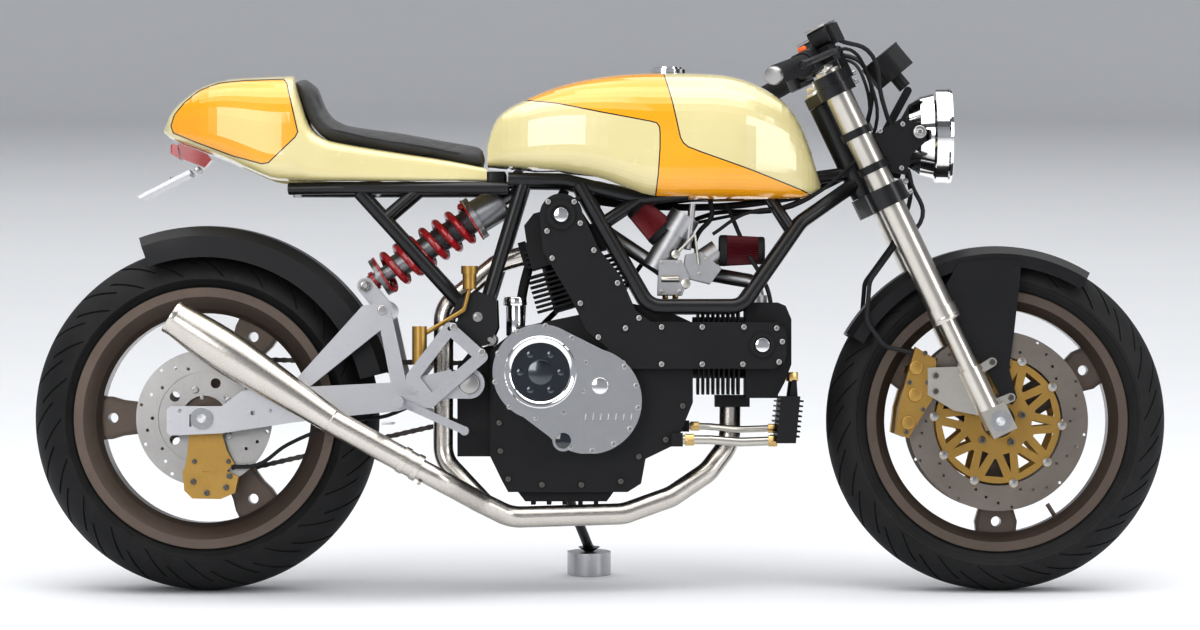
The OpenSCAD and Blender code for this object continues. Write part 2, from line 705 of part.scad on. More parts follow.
module rear_axle() color(alloy) parked() wheel(rear_at) difference() {
    union() {
        cylinder(h = 2 * arm_out + 10, r = axle_r, center = true);
        for (s = [-1, 1]) translate([0, 0, s * (arm_out + 5)]) cylinder(h = 9, r = 19, center = true, $fn = 24);
        for (s = [-1, 1]) translate([0, 0, s * ((arm_in + 62.5) / 2)])
            cylinder(h = arm_in - 62.5 - seat_gap, r = 17, center = true);
    }
    cylinder(h = 400, r = 8, center = true);
}

shock_low = [283.5, 0, 544.5];
shock_high = [557, 0, 714];
function shock_at(t) = shock_low + (shock_high - shock_low) * t;

// shock frame: Z along the shock from its lower eye
module shock() translate(shock_low)
    rotate([0, atan2(shock_high.x - shock_low.x, shock_high.z - shock_low.z), 0]) children();

module shock_absorber() color([0.35, 0.36, 0.38]) parked() difference() {
    union() {
        shock() {
            rotate([90, 0, 0]) cylinder(h = 28, r = 15, center = true);
            translate([0, 0, 10]) cylinder(h = 60, r = 14);
            translate([0, 0, 26]) cylinder(h = 8, r = 36);
            translate([0, 0, 60]) cylinder(h = 230, r = 22);
            translate([0, 0, 226]) cylinder(h = 10, r = 40);
            translate([0, 0, 236]) cylinder(h = 50, r = 31);
            translate([0, 0, 280]) cylinder(h = 36, r = 10);
        }
        wheel(shock_high) cylinder(h = 37, r = 12.5, center = true);
    }
    shock() rotate([90, 0, 0]) cylinder(h = 60, r = 6, center = true);
    wheel(shock_high) cylinder(h = 60, r = 6, center = true);
}

spring_turns = 6.5;

module shock_spring() color([0.62, 0.05, 0.07]) parked() shock() {
    n = round(spring_turns * 16);
    p = [for (i = [0:n]) let (t = i / n)
        [31.5 * cos(360 * spring_turns * t), 31.5 * sin(360 * spring_turns * t), 41 + 178 * t]];
    for (i = [0:n - 1]) hull() {
        translate(p[i]) sphere(6.4, $fn = 12);
        translate(p[i + 1]) sphere(6.4, $fn = 12);
    }
}

module rear_hugger() color(black) parked() difference() {
    wheel(rear_at) {
        rotate([0, 0, 14]) rotate_extrude(angle = 96, $fn = 120)
            polygon([[286, -96], [286, -93], [322, -93], [338, -74], [341, 0], [338, 74], [322, 93], [286, 93],
                [286, 96], [324, 96], [341, 77], [344, 0], [341, -77], [324, -96]]);
        for (s = [-1, 1]) for (a = [34, 27]) rotate(a) translate([300, 0, s * (arm_in + 98) / 2])
            cylinder(h = arm_in - 90 - 2 * seat_gap, r = 8, center = true);
    }
    // room for the upper chain run
    side(chain_y - chain_w / 2 - 6, chain_y + 20) polygon([[150, 370], [400, 360], [400, 422], [150, 427]]);
}

module rear_caliper() parked() {
    color(alloy) side(-97, -90) difference() {
        polygon([[-24, 300], [33, 300], [34, 276], [42, 250], [55, 228], [40, 214], [-20, 214], [-33, 219],
            [-28, 250]]);
        translate([0, rear_z]) circle(18);
    }
    color(gold) difference() {
        side(-97, -65) polygon([[-37, 214], [-30, 226], [0, 213], [40, 216], [62, 205], [56, 176], [30, 165],
            [-20, 166], [-34, 180]]);
        side(-86, -71) translate([0, rear_z]) circle(rear_disc_r + 5, $fn = 96);
    }
}

module chain() color(black) parked() side(chain_y - chain_w / 2, chain_y + chain_w / 2) difference() {
    belt2d([0, rear_z], rear_sprocket_r + 0.8 + chain_t, [drive_x, drive_z], drive_r + chain_t);
    belt2d([0, rear_z], rear_sprocket_r + 0.8, [drive_x, drive_z], drive_r);
}

module rearsets() color(alloy) parked() both() {
    y = arm_out + 6;
    side(y, y + 10) difference() {
        union() {
            link2d([438, 467], [494, 417], 22);
            link2d([438, 467], [372, 381], 22);
            link2d([494, 417], [404, 339], 22);
            link2d([372, 381], [404, 339], 22);
            link2d([404, 339], [350, 338], 24);
        }
        translate([438, 467]) circle(4);
    }
    for (p = [[444, 470], [494, 425]]) side(99 + seat_gap, y) translate(p) circle(7);
    rod([350, y + 10, 338], [350, y + 94, 338], 10);
}

module foot_pedals() color(alloy) parked() both() {
    y = arm_out + 18;
    side(y, y + 7) difference() {
        link2d([350, 338], [465, 287], 14);
        translate([350, 338]) circle(10.3);
    }
    rod([465, y + 7, 287], [465, y + 40, 287], 8);
}

module rear_brake_reservoir() parked() {
    color(gold) rod([384, -126.5, 404], [384, -126.5, 471], 13);
    color(gold) rod([472, -110, 537], [472, -110, 564], 12.5);
    color(black) rod([472, -110, 564], [472, -110, 578], 15);
    color(gold) pipe([[472, -110, 540], [462, -114, 500], [388, -126, 455]], 4, 14);
}

// ---------- exhaust and oil ----------

function bank_point(x, y, z) = [684 + x * cos(rear_lean) - z * sin(rear_lean), y,
    478 + x * sin(rear_lean) + z * cos(rear_lean)];

module exhaust_headers() color(alloy) parked() {
    pipe([[936, 0, 338], [935, 0, 262], [896, -20, 212], [830, -42, 168], [745, -62, 138],
        [545, -70, 132], [490, -100, 160], [425, silencer_y, 198.6], [370, silencer_y, 228.7]], 19, 60);
    pipe([bank_point(-66, -20, 148), bank_point(-128, -20, 148), [424, -40, 505], [423, -40, 235],
        [505, -90, 150]], 17.5, 50);
}

// silencer: centre line from its joint to its outlet, and its radii along the cone
silencer_y = -178;
cone_from = [238, silencer_y, 301];
cone_to = [-49.5, silencer_y, 488];
joint_at = [385, silencer_y, 220.5];
cone_len = norm(cone_to - cone_from);
cone_shape = [[0, 23.5], [54, 26], [108, 30.5], [165, 34.5], [218, 37.5], [258, 37], [290, 35], [322, 32],
    [cone_len, 30.5]];

module silencer() color(alloy) parked() {
    d = (cone_from - joint_at) / norm(cone_from - joint_at);
    e = (cone_to - cone_from) / cone_len;
    cut = 200 * tan(acos(d * e) / 2);
    difference() {
        rod(joint_at, cone_from - d * (cut - 1.2), 22.5);
        rod(joint_at - d * 5, joint_at + d * 45, 19.6);
    }
    elbow(cone_from, d, e, 22.7, 200);
    translate(cone_from) rotate([0, -90 + atan2(e.z, -e.x), 0]) rotate_extrude($fn = 96)
        polygon(concat([[0, cut - 1.2], [22.5, cut - 1.2]],
            [for (i = [0:40]) let (t = cut + 2 + (cone_len - cut - 2) * i / 40) [curve(cone_shape, t), t]],
            [[28, cone_len], [28, 220], [0, 220]]));
}

module oil_cooler() color(black) parked() {
    side(-105, 105) polygon([[1016, 264], [1050, 264], [1058, 347], [1024, 347]]);
    for (i = [0:7]) side(-100, 100) translate([1011 + i, 274 + 9 * i]) square([46, 3]);
    for (s = [-1, 1]) side(s * 80 - 10, s * 80 + 10) polygon([[1040, 345], [1054, 345], [1052, 376], [1044, 376]]);
}

module oil_lines() color(alloy) parked() {
    pipe([[850.3, -77, 270], [900, -78, 270], [953, -78, 266], [1010.7, -76, 268]], 8, 60);
    pipe([[862.3, -40, 294], [900, -42, 293], [950, -52, 288], [1011.7, -52, 290]], 6, 60);
}

module stand_puck() color(alloy) translate([foot_x - base_x, foot_y - base_y, 0])
    cylinder(h = puck_h, r = puck_r, $fn = 96);

// leg end above the foot, in the upright frame
foot_top = puck_h + 6;
leg_end = [foot_x, foot_y * cos(lean) - foot_top * sin(lean), foot_y * sin(lean) + foot_top * cos(lean)];
// the leg leaves the pivot square to its axis, then bends towards the foot
stand_axis = [cos(stand_tilt) * sin(stand_swing), sin(stand_tilt), cos(stand_tilt) * cos(stand_swing)];
leg_run = leg_end - stand_pivot;
leg_square = leg_run - stand_axis * (stand_axis * leg_run);
leg_knee = stand_pivot + leg_square / norm(leg_square) * stand_knee;

module side_stand() color(black) difference() {
    union() {
        translate([foot_x - base_x, foot_y - base_y, puck_h + seat_gap]) cylinder(h = 8, r1 = foot_flat, r2 = foot_r);
        parked() {
            rod(stand_pivot, leg_knee, 6.2);
            rod(leg_knee, leg_end, 9);
            for (p = [leg_knee, leg_end]) translate(p) sphere(9.6);
            translate(stand_pivot) rotate([-stand_tilt, stand_swing, 0]) cylinder(h = 14, r = 14, center = true);
        }
    }
    parked() translate(stand_pivot) rotate([-stand_tilt, stand_swing, 0]) cylinder(h = 40, r = 5 + run_gap, center = true);
    translate([foot_x - base_x - 40, foot_y - base_y - 40, puck_h + seat_gap - 40]) cube([80, 80, 40]);
}

// ---------- steering ----------

module lower_clamp() color(black) parked() steer() difference() {
    union() {
        translate([0, 0, -18]) linear_extrude(36) union() {
            polygon([[-26, -20], [10, -leg_y], [46, -leg_y], [46, leg_y], [10, leg_y], [-26, 20]]);
            for (s = [-1, 1]) translate([fork_lead, s * leg_y]) circle(tube_r + 12);
            circle(28);
        }
        cylinder(h = top_clamp_z - 11 + 24, r = stem_r);
    }
    for (s = [-1, 1]) translate([fork_lead, s * leg_y, -30]) cylinder(h = 60, r = tube_r + run_gap);
    translate([0, 0, -30]) cylinder(h = top_clamp_z + 60, r = 9);
}

module top_clamp() color(black) parked() steer() translate([0, 0, top_clamp_z - 10]) difference() {
    linear_extrude(20) union() {
        polygon([[-22, -20], [14, -leg_y], [44, -leg_y], [44, leg_y], [14, leg_y], [-22, 20]]);
        for (s = [-1, 1]) translate([fork_lead, s * leg_y]) circle(tube_r + 10);
        circle(26);
    }
    for (s = [-1, 1]) translate([fork_lead, s * leg_y, -5]) cylinder(h = 60, r = tube_r + run_gap);
    translate([0, 0, -5]) cylinder(h = 60, r = stem_r + run_gap);
}

module fork_tubes() color(alloy) parked() steer() for (s = [-1, 1])
    translate([fork_lead, s * leg_y, 0]) difference() {
        union() {
            translate([0, 0, tube_low]) cylinder(h = tube_top - tube_low, r = tube_r);
            translate([0, 0, tube_low - 12]) cylinder(h = 26, r = tube_r + 2.5);
        }
        translate([0, 0, tube_low - 20]) cylinder(h = 60, r = slider_r + run_gap);
    }

module fork_sliders() color(alloy) parked() difference() {
    union() {
        steer() for (s = [-1, 1]) translate([fork_lead, s * leg_y, 0]) {
            translate([0, 0, slider_low]) cylinder(h = tube_low - slider_low + 38, r = slider_r);
            translate([0, 0, axle_z - 6]) cylinder(h = slider_low - axle_z + 6, r = 21.5);
            translate([axle_x - fork_lead - 24, -21.5, axle_z - 24]) cube([46, 43, 52]);
        }
        both() {
            side(leg_y - 8.7, leg_y - 1) polygon([[1284, 398], [1342, 400], [1362, 356], [1380, 312],
                [1330, 322], [1284, 350]]);
            side(leg_y - 21.7, leg_y - 8) {
                link2d([1366, 388], [1399, 408], 16);
                link2d([1404, 334], [1432, 345], 16);
            }
        }
    }
    wheel(front_at) cylinder(h = 400, r = axle_r + run_gap, center = true);
}

module front_axle() color(alloy) parked() wheel(front_at) difference() {
    union() {
        cylinder(h = 2 * (leg_y + 24), r = axle_r, center = true);
        for (s = [-1, 1]) translate([0, 0, s * (leg_y + 25.5)]) cylinder(h = 7, r = 18, center = true, $fn = 24);
        for (s = [-1, 1]) translate([0, 0, s * (leg_y - 21.5 + 54) / 2])
            cylinder(h = leg_y - 21.5 - 54 - seat_gap, r = 16, center = true);
    }
    cylinder(h = 400, r = 8, center = true);
}

light_at = [1299, 0, 814];

module headlight_body() color(alloy) parked() translate(light_at) rotate([0, 90, 0]) {
    rotate_extrude($fn = 96) polygon([[0, -62], [30, -58], [56, -44], [70, -24], [76, 0], [84, 4], [84, 26],
        [80, 32], [74, 30], [74, 6], [66, 2], [60, -20], [46, -38], [0, -52]]);
}

module headlight_lens() color([0.8, 0.85, 0.9]) parked() translate(light_at) rotate([0, 90, 0])
    rotate_extrude($fn = 96) polygon([[0, 40], [30, 38], [56, 33], [73.6, 25], [73.6, 20], [56, 28], [30, 33],
        [0, 35]]);

module headlight_bracket() color(black) parked() {
    both() {
        side(leg_y - 12, leg_y - 4) polygon([[1189, 812], [1240, 842], [1282, 826], [1282, 800], [1256, 776],
            [1246, 740], [1222, 745]]);
        rod([1270, 71.9, 816], [1270, leg_y - 8, 816], 9);
        steer() for (z = [56, 124]) translate([fork_lead, leg_y, z]) difference() {
            cylinder(h = 14, r = tube_r + 5, center = true);
            cylinder(h = 20, r = tube_r + run_gap, center = true);
        }
    }
    rod([1214, 8 - leg_y, 820], [1214, leg_y - 8, 820], 7);
    side(-8, 8) link2d([1214, 820], [1254.7, 894.6], 14);
}

// handlebar tube from its clamp to its end, in the steering frame
bar_from = [fork_lead + tube_r + 8, leg_y - 14, bar_z];
bar_to = [-74, bar_reach, bar_z];
function bar_at(t) = bar_from + (bar_to - bar_from) * t;

module clip_ons() color(black) parked() steer() both() {
    translate([fork_lead, leg_y, top_clamp_z + 10.3]) difference() {
        cylinder(h = 20, r = tube_r + 8);
        translate([0, 0, -1]) cylinder(h = 30, r = tube_r + run_gap);
    }
    translate([fork_lead + tube_r + 1, leg_y - 28, top_clamp_z + 10.3]) cube([14, 28, bar_z - top_clamp_z - 4]);
    rod(bar_from, bar_to, 11);
}

module grips() color(black) parked() steer() both() difference() {
    rod(bar_at(0.54), bar_at(1) + (bar_at(1) - bar_at(0.99)), 16.5);
    rod(bar_at(0.5), bar_at(1), 11 + run_gap);
}

module hand_levers() color(black) parked() steer() both() difference() {
    union() {
        translate(bar_at(0.34) + [14, 0, 0]) rotate([0, 0, 26]) cube([44, 34, 30], center = true);
        rod(bar_at(0.34) + [30, 0, 0], bar_at(0.97) + [52, 0, -4], 7, 5);
        translate(bar_at(0.28) + [26, 0, 12]) rotate([0, 0, 26]) translate([-22, -19, 0]) cube([44, 38, 34]);
    }
    rod(bar_at(0), bar_at(1), 11 + run_gap);
}

module gauge() color(black) parked() translate([1205, 0, 954]) rotate([0, -40, 0]) {
    translate([0, 0, -45]) cylinder(h = 45, r = 40);
    translate([0, 0, -70]) cylinder(h = 30, r = 12);
}

module front_fender() color(black) parked() {
    wheel(front_at) rotate([0, 0, 58]) rotate_extrude(angle = 92, $fn = 120)
        polygon([[276, -75], [276, -72], [296, -72], [308, -54], [310, 0], [308, 54], [296, 72], [276, 72], [276, 75],
            [298, 75], [311, 57], [313, 0], [311, -57], [298, -75]]);
    both() side(74, 79) polygon([[1318, 545], [1340, 584], [1411, 592], [1452, 588], [1448, 540], [1444, 507],
        [1439, 462], [1430, 395], [1444, 345], [1436, 332], [1420, 338], [1388, 396], [1350, 440]]);
}

module front_calipers() color(gold) parked() both() difference() {
    side(53, 92) polygon([[1263, 435], [1299, 413], [1300, 354], [1250, 273], [1227, 282], [1232, 327],
        [1250, 390]]);
    side(disc_y - 5, disc_y + disc_t + 5) translate([wheelbase, front_z]) circle(front_disc_r + 6, $fn = 96);
}

module brake_hoses() color(black) parked() both()
    pipe([[1230, 84, 618], [1182, 84, 552], [1176, 84, 480], [1208, 84, 436], [1255, 84, 425]], 4, 30);

main_frame();
rear_subframe();
crankcase();
cylinders();
cylinder_heads();
belt_covers();
clutch_cover();
clutch_window();
left_covers();
carburettors();
air_filters();
fuel_tank();
fuel_cap();
tail_unit();
seat_pad();
tail_light();
plate_holder();
swingarm();
shock_absorber();
shock_spring();
rear_hugger();
rear_caliper();
rear_axle();
rearsets();
foot_pedals();
rear_brake_reservoir();
exhaust_headers();
silencer();
oil_cooler();
oil_lines();
chain();
stand_puck();
lower_clamp();
top_clamp();
fork_tubes();
fork_sliders();
front_axle();
headlight_body();
headlight_lens();
headlight_bracket();
clip_ons();
grips();
hand_levers();
gauge();
front_fender();
front_calipers();
brake_hoses();
front_rim();
front_tyre();
front_discs();
disc_carriers();
rear_rim();
rear_tyre();
rear_disc();
rear_sprocket();
side_stand();
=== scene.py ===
"""Visual model of a cafe racer motorcycle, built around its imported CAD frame."""
import json
import logging
import math
from dataclasses import dataclass, field
from enum import Enum
from typing import Any, Callable, Dict, List, Optional, Sequence, Tuple, Union

import bmesh
import bpy
from mathutils import Matrix, Vector


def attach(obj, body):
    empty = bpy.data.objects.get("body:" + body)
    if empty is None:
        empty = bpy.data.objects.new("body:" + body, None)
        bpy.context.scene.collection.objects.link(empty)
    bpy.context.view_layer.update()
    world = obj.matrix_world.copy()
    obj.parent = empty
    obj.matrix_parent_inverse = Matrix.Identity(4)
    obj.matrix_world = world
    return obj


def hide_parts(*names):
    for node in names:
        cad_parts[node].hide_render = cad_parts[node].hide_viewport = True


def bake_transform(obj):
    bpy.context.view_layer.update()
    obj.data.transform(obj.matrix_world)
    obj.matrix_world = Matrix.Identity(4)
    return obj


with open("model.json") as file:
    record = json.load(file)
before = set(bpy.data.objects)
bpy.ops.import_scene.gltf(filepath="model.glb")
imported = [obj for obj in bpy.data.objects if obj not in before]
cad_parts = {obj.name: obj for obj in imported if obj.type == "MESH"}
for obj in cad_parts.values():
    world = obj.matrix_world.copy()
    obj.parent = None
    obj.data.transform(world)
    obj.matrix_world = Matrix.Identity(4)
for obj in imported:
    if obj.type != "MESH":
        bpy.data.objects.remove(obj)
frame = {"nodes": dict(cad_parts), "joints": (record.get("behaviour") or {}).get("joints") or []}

LOG = logging.getLogger("cafe_racer")
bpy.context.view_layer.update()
MM = 0.001
FULL_TURN = 2 * math.pi

Colour = Tuple[float, float, float]
Number = Union[int, float]


class Body(str, Enum):
    """The CAD bodies that pieces ride on."""

    FRAME = "frame"
    STEERING = "steering"
    FRONT_WHEEL = "front_wheel"
    REAR_WHEEL = "rear_wheel"


class Grain(Enum):
    """How the surface of a finish is worked."""

    SMOOTH = "smooth"
    CAST = "cast"
    BRUSHED = "brushed"
    TURNED = "turned"


# ---------- where things are ----------


class Stance:
    """The upright design frame of the bike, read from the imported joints."""

    def __init__(self) -> None:
        """Reads the axle line, the steering axis and the lean from the joints."""
        joints = {j["name"]: j for j in frame["joints"]}
        rear, steer = joints["rear_wheel_spin"], joints["steering"]
        self.left = Vector(rear["axis"]).normalized()
        self.ahead = Vector((1.0, 0.0, 0.0))
        self.up = self.ahead.cross(self.left).normalized()
        self.rear = Vector(rear["pos_m"])
        self.front = Vector(joints["front_wheel_spin"]["pos_m"])
        self.foot = Vector(steer["pos_m"])
        self.rise = Vector(steer["axis"]).normalized()
        self.across = self.left.cross(self.rise).normalized()
        self.floor = self.rear - self.up * (self.rear.z / self.up.z)

    def at(self, x: Number, y: Number, z: Number) -> Vector:
        """Place of a design point.

        Args:
            x: distance ahead of the rear axle, in mm.
            y: distance to the rider's left, in mm.
            z: height in the upright bike, in mm.

        Returns:
            The point in metres, in the row frame.
        """
        return self.floor + self.ahead * (x * MM) + self.left * (y * MM) + self.up * (z * MM)

    def steer(self, x: Number, y: Number, z: Number) -> Vector:
        """Place of a point given across, left of and along the steering axis, in mm."""
        return self.foot + self.across * (x * MM) + self.left * (y * MM) + self.rise * (z * MM)

    def turn(self, about: Vector) -> Matrix:
        """Matrix that takes local Z to the axle line and local X ahead, at a point."""
        basis = Matrix((self.ahead, self.left.cross(self.ahead), self.left)).transposed()
        return Matrix.Translation(about) @ basis.to_4x4()


# ---------- shader maths ----------


class Value:
    """A number in a material; expressions on it add Math nodes."""

    def __init__(self, graph: "Graph", socket: Any) -> None:
        """Keeps the graph and the output socket."""
        self.graph = graph
        self.socket = socket

    def _do(self, operation: str, *others: Any) -> "Value":
        """Adds one Math node."""
        return self.graph.math(operation, self, *others)

    def __add__(self, other: Any) -> "Value":
        """Sum."""
        return self._do("ADD", other)

    __radd__ = __add__

    def __sub__(self, other: Any) -> "Value":
        """Difference."""
        return self._do("SUBTRACT", other)

    def __rsub__(self, other: Any) -> "Value":
        """Reflected difference."""
        return self.graph.math("SUBTRACT", other, self)

    def __mul__(self, other: Any) -> "Value":
        """Product."""
        return self._do("MULTIPLY", other)

    __rmul__ = __mul__

    def __truediv__(self, other: Any) -> "Value":
        """Quotient."""
        return self._do("DIVIDE", other)

    def root(self) -> "Value":
        """Square root."""
        return self._do("SQRT")

    def sine(self) -> "Value":
        """Sine, of radians."""
        return self._do("SINE")

    def size(self) -> "Value":
        """Absolute value."""
        return self._do("ABSOLUTE")

    def clamp(self) -> "Value":
        """Limits to 0..1."""
        return self._do("MAXIMUM", 0.0)._do("MINIMUM", 1.0)

    def least(self, other: Any) -> "Value":
        """The smaller of two."""
        return self._do("MINIMUM", other)

    def most(self, other: Any) -> "Value":
        """The larger of two."""
        return self._do("MAXIMUM", other)

    def step(self, low: float, high: float) -> "Value":
        """Ramp from 0 at low to 1 at high."""
        return ((self - low) / (high - low)).clamp()


class Graph:
    """One material's node tree and the few calls that fill it."""

    def __init__(self, name: str) -> None:
        """Starts a material with a Principled shader.

        Args:
            name: the material's name.
        """
        self.material = bpy.data.materials.new(name)
        self.material.use_nodes = True
        self.tree = self.material.node_tree
        self.tree.nodes.clear()
        self.surface = self.node("ShaderNodeBsdfPrincipled")
        output = self.node("ShaderNodeOutputMaterial")
        self.tree.links.new(self.surface.outputs[0], output.inputs["Surface"])
        self.place = self.node("ShaderNodeTexCoord").outputs["Object"]

    def node(self, kind: str, settings: Optional[Dict[str, Any]] = None,
             inputs: Optional[Dict[Any, Any]] = None) -> Any:
        """Adds a node.

        Args:
            kind: the node's type.
            settings: its properties, set first; "stops" fills a ramp.
            inputs: values, Values or sockets by input name or number.

        Returns:
            The node.
        """
        made = self.tree.nodes.new(kind)
        for key, value in (settings or {}).items():
            if key == "stops":
                ramp = made.color_ramp
                while len(ramp.elements) < len(value):
                    ramp.elements.new(0.5)
                for element, (where, colour) in zip(ramp.elements, value):
                    element.position = where
                    element.color = (*colour, 1.0)
            else:
                setattr(made, key, value)
        for key, value in (inputs or {}).items():
            self.feed(made.inputs[key], value)
        return made

    def feed(self, socket: Any, value: Any) -> None:
        """Links or sets one input."""
        if isinstance(value, Value):
            value = value.socket
        if isinstance(value, bpy.types.NodeSocket):
            self.tree.links.new(value, socket)
        elif isinstance(value, (tuple, list)) and len(value) == 3 and socket.type == "RGBA":
            socket.default_value = (*value, 1.0)
        else:
            socket.default_value = value

    def math(self, operation: str, *values: Any) -> Value:
        """Adds a Math node on numbers or Values."""
        made = self.node("ShaderNodeMath", {"operation": operation}, dict(enumerate(values)))
        return Value(self, made.outputs[0])

    def noise(self, scale: float, detail: float = 3.0, rough: float = 0.55,
              vector: Any = None) -> Value:
        """Noise between 0 and 1.

        Args:
            scale: cycles per metre.
            detail: octaves.
            rough: weight of the finer octaves.
            vector: coordinates, object ones if left out.

        Returns:
            The noise as a Value.
        """
        made = self.node("ShaderNodeTexNoise", {}, {
            "Vector": vector or self.place, "Scale": scale, "Detail": detail, "Roughness": rough})
        return Value(self, made.outputs["Fac"])

    def cells(self, scale: float, feature: str = "F1", vector: Any = None) -> Value:
        """Distance in a pattern of cells."""
        made = self.node("ShaderNodeTexVoronoi", {"feature": feature},
                         {"Vector": vector or self.place, "Scale": scale})
        return Value(self, made.outputs["Distance"])

    def stretched(self, scale: Sequence[float], turn: Sequence[float] = (0, 0, 0)) -> Any:
        """Object coordinates turned and scaled unevenly."""
        made = self.node("ShaderNodeMapping", {"vector_type": "POINT"}, {
            "Vector": self.place, "Scale": tuple(scale), "Rotation": tuple(turn)})
        return made.outputs[0]

    def along(self, direction: Vector, origin: Vector, factor: float = 1000.0) -> Value:
        """Signed distance from a point along a direction, in mm."""
        made = self.node("ShaderNodeVectorMath", {"operation": "DOT_PRODUCT"},
                         {0: self.place, 1: tuple(direction)})
        return (Value(self, made.outputs["Value"]) - origin.dot(direction)) * factor

    def mix(self, factor: Any, low: Any, high: Any) -> Any:
        """Colour between two colours."""
        made = self.node("ShaderNodeMix", {"data_type": "RGBA"}, {0: factor, 6: low, 7: high})
        return made.outputs[2]

    def bump(self, height: Value, distance: float, strength: float = 1.0) -> Any:
        """Normal from a height between 0 and 1; distance in metres."""
        made = self.node("ShaderNodeBump", {}, {
            "Height": height, "Distance": distance, "Strength": strength})
        return made.outputs[0]

    def finish(self, **inputs: Any) -> bpy.types.Material:
        """Feeds the shader and returns the material; names use _ for a space."""
        for key, value in inputs.items():
            self.feed(self.surface.inputs[key.replace("_", " ")], value)
        return self.material


# ---------- finishes ----------


def shade(colour: Colour, factor: float) -> Colour:
    """The colour, darker or paler by a factor."""
    return tuple(min(1.0, channel * factor) for channel in colour)


@dataclass(frozen=True)
class Finish:
    """A worked surface: colour, gloss, fine grain, soft dirt and small scratches."""

    name: str
    colour: Colour
    rough: float = 0.4
    metal: float = 0.0
    coat: float = 0.0
    grain: Grain = Grain.SMOOTH
    mottle: float = 0.10
    relief: float = 0.00004
    scale: float = 900.0
    dust: float = 0.06
    sheen: float = 0.0
    shine: float = 0.5
    slot: str = "steel"

    def pattern(self, graph: Graph) -> Value:
        """Fine height of the surface, 0 to 1."""
        if self.grain is Grain.BRUSHED:
            return graph.noise(self.scale, 4, 0.7, graph.stretched((0.06, 1.0, 1.0), (0, 0.5, 0)))
        if self.grain is Grain.TURNED:
            return graph.noise(self.scale, 3, 0.6, graph.stretched((1.0, 0.05, 1.0)))
        if self.grain is Grain.CAST:
            return graph.noise(self.scale, 5, 0.75) * 0.7 + graph.cells(self.scale * 0.8) * 0.3
        return graph.noise(self.scale * 0.25, 3, 0.5)

    def build(self) -> bpy.types.Material:
        """Makes the material."""
        graph = Graph(self.name)
        fine, soft = self.pattern(graph), graph.noise(9.0, 4, 0.6)
        grime = graph.noise(34.0, 6, 0.7).step(0.52, 0.78)
        base = graph.mix(soft.step(0.3, 0.7), shade(self.colour, 1 - self.mottle),
                         shade(self.colour, 1 + self.mottle))
        base = graph.mix(grime * self.dust * 4, base, shade(self.colour, 0.45))
        scratch = graph.noise(160.0, 2, 0.4, graph.stretched((0.12, 1.0, 2.4), (0.3, 0.9, 0.2)))
        rough = (fine - 0.5) * 0.16 + grime * self.dust * 1.5 + scratch.step(0.68, 0.76) * 0.03
        return graph.finish(
            Base_Color=base, Metallic=self.metal, Roughness=(rough + self.rough).clamp(),
            Coat_Weight=self.coat, Coat_Roughness=0.04, Sheen_Weight=self.sheen,
            Specular_IOR_Level=self.shine,
            Normal=graph.bump(fine, self.relief, 0.6))


@dataclass(frozen=True)
class Rubber(Finish):
    """Rubber with a faint bloom and fine pores."""

    def build(self) -> bpy.types.Material:
        """Makes the material."""
        graph = Graph(self.name)
        pores, bloom = graph.cells(1400.0), graph.noise(14.0, 5, 0.65)
        worn = graph.noise(70.0, 4, 0.7)
        base = graph.mix(bloom.step(0.35, 0.75), self.colour, shade(self.colour, 1.7))
        base = graph.mix(worn.step(0.55, 0.8) * 0.35, base, shade(self.colour, 2.4))
        return graph.finish(
            Base_Color=base, Roughness=(bloom * 0.25 + self.rough).clamp(), Specular_IOR_Level=0.22,
            Normal=graph.bump(pores * 0.5 + worn * 0.5, 0.00012, 0.5))


@dataclass(frozen=True)
class Leather(Finish):
    """Soft leather: pebbled cells with painted shade in their grooves, creases and a worn sheen."""

    def build(self) -> bpy.types.Material:
        """Makes the material."""
        graph = Graph(self.name)
        warp = graph.noise(60.0, 2).socket
        cells = graph.cells(self.scale, "DISTANCE_TO_EDGE").step(0.0, 0.16)
        crease = graph.noise(38.0, 6, 0.75, graph.stretched((1.0, 0.35, 1.0)))
        tone = graph.mix(graph.noise(16.0, 4).step(0.3, 0.7),
                         shade(self.colour, 0.75), shade(self.colour, 1.5))
        # painted shade: the tone darkens towards 0.4 of the colour in the grooves between the pebbles
        tone = graph.mix((1 - cells) * 0.5, tone, shade(self.colour, 0.4))
        height = cells * 0.6 + crease * 0.4 + Value(graph, warp) * 0.1
        return graph.finish(
            Base_Color=tone, Roughness=(crease * 0.3 + self.rough - cells * 0.08).clamp(),
            Sheen_Weight=0.15, Normal=graph.bump(height, 0.0006, 0.55))


@dataclass(frozen=True)
class Glass(Finish):
    """Clear or smoked glass with a trace of dust."""

    through: float = 1.0

    def build(self) -> bpy.types.Material:
        """Makes the material."""
        graph = Graph(self.name)
        dust = graph.noise(45.0, 6, 0.7).step(0.55, 0.85)
        return graph.finish(
            Base_Color=graph.mix(dust * 0.12, self.colour, (0.7, 0.7, 0.68)),
            Roughness=dust * 0.12 + self.rough, Transmission_Weight=self.through, IOR=1.48)


@dataclass(frozen=True)
class Gauze(Finish):
    """Wire gauze over pleated cloth."""

    def build(self) -> bpy.types.Material:
        """Makes the material."""
        graph = Graph(self.name)
        wires = [(graph.along(Vector(d).normalized(), Vector((0, 0, 0))) * 2.1).sine().size()
                 for d in ((1, 0, 1), (1, 0, -1), (0, 1, 1))]
        weave = (1 - wires[0] * wires[1]) * 0.7 + wires[2] * 0.3
        base = graph.mix(weave.step(0.5, 0.9), shade(self.colour, 0.45), self.colour)
        base = graph.mix(graph.noise(30.0, 4).step(0.4, 0.8) * 0.4, base, shade(self.colour, 0.5))
        return graph.finish(Base_Color=base, Roughness=self.rough, Metallic=0.2,
                            Normal=graph.bump(weave, 0.0004, 0.6))


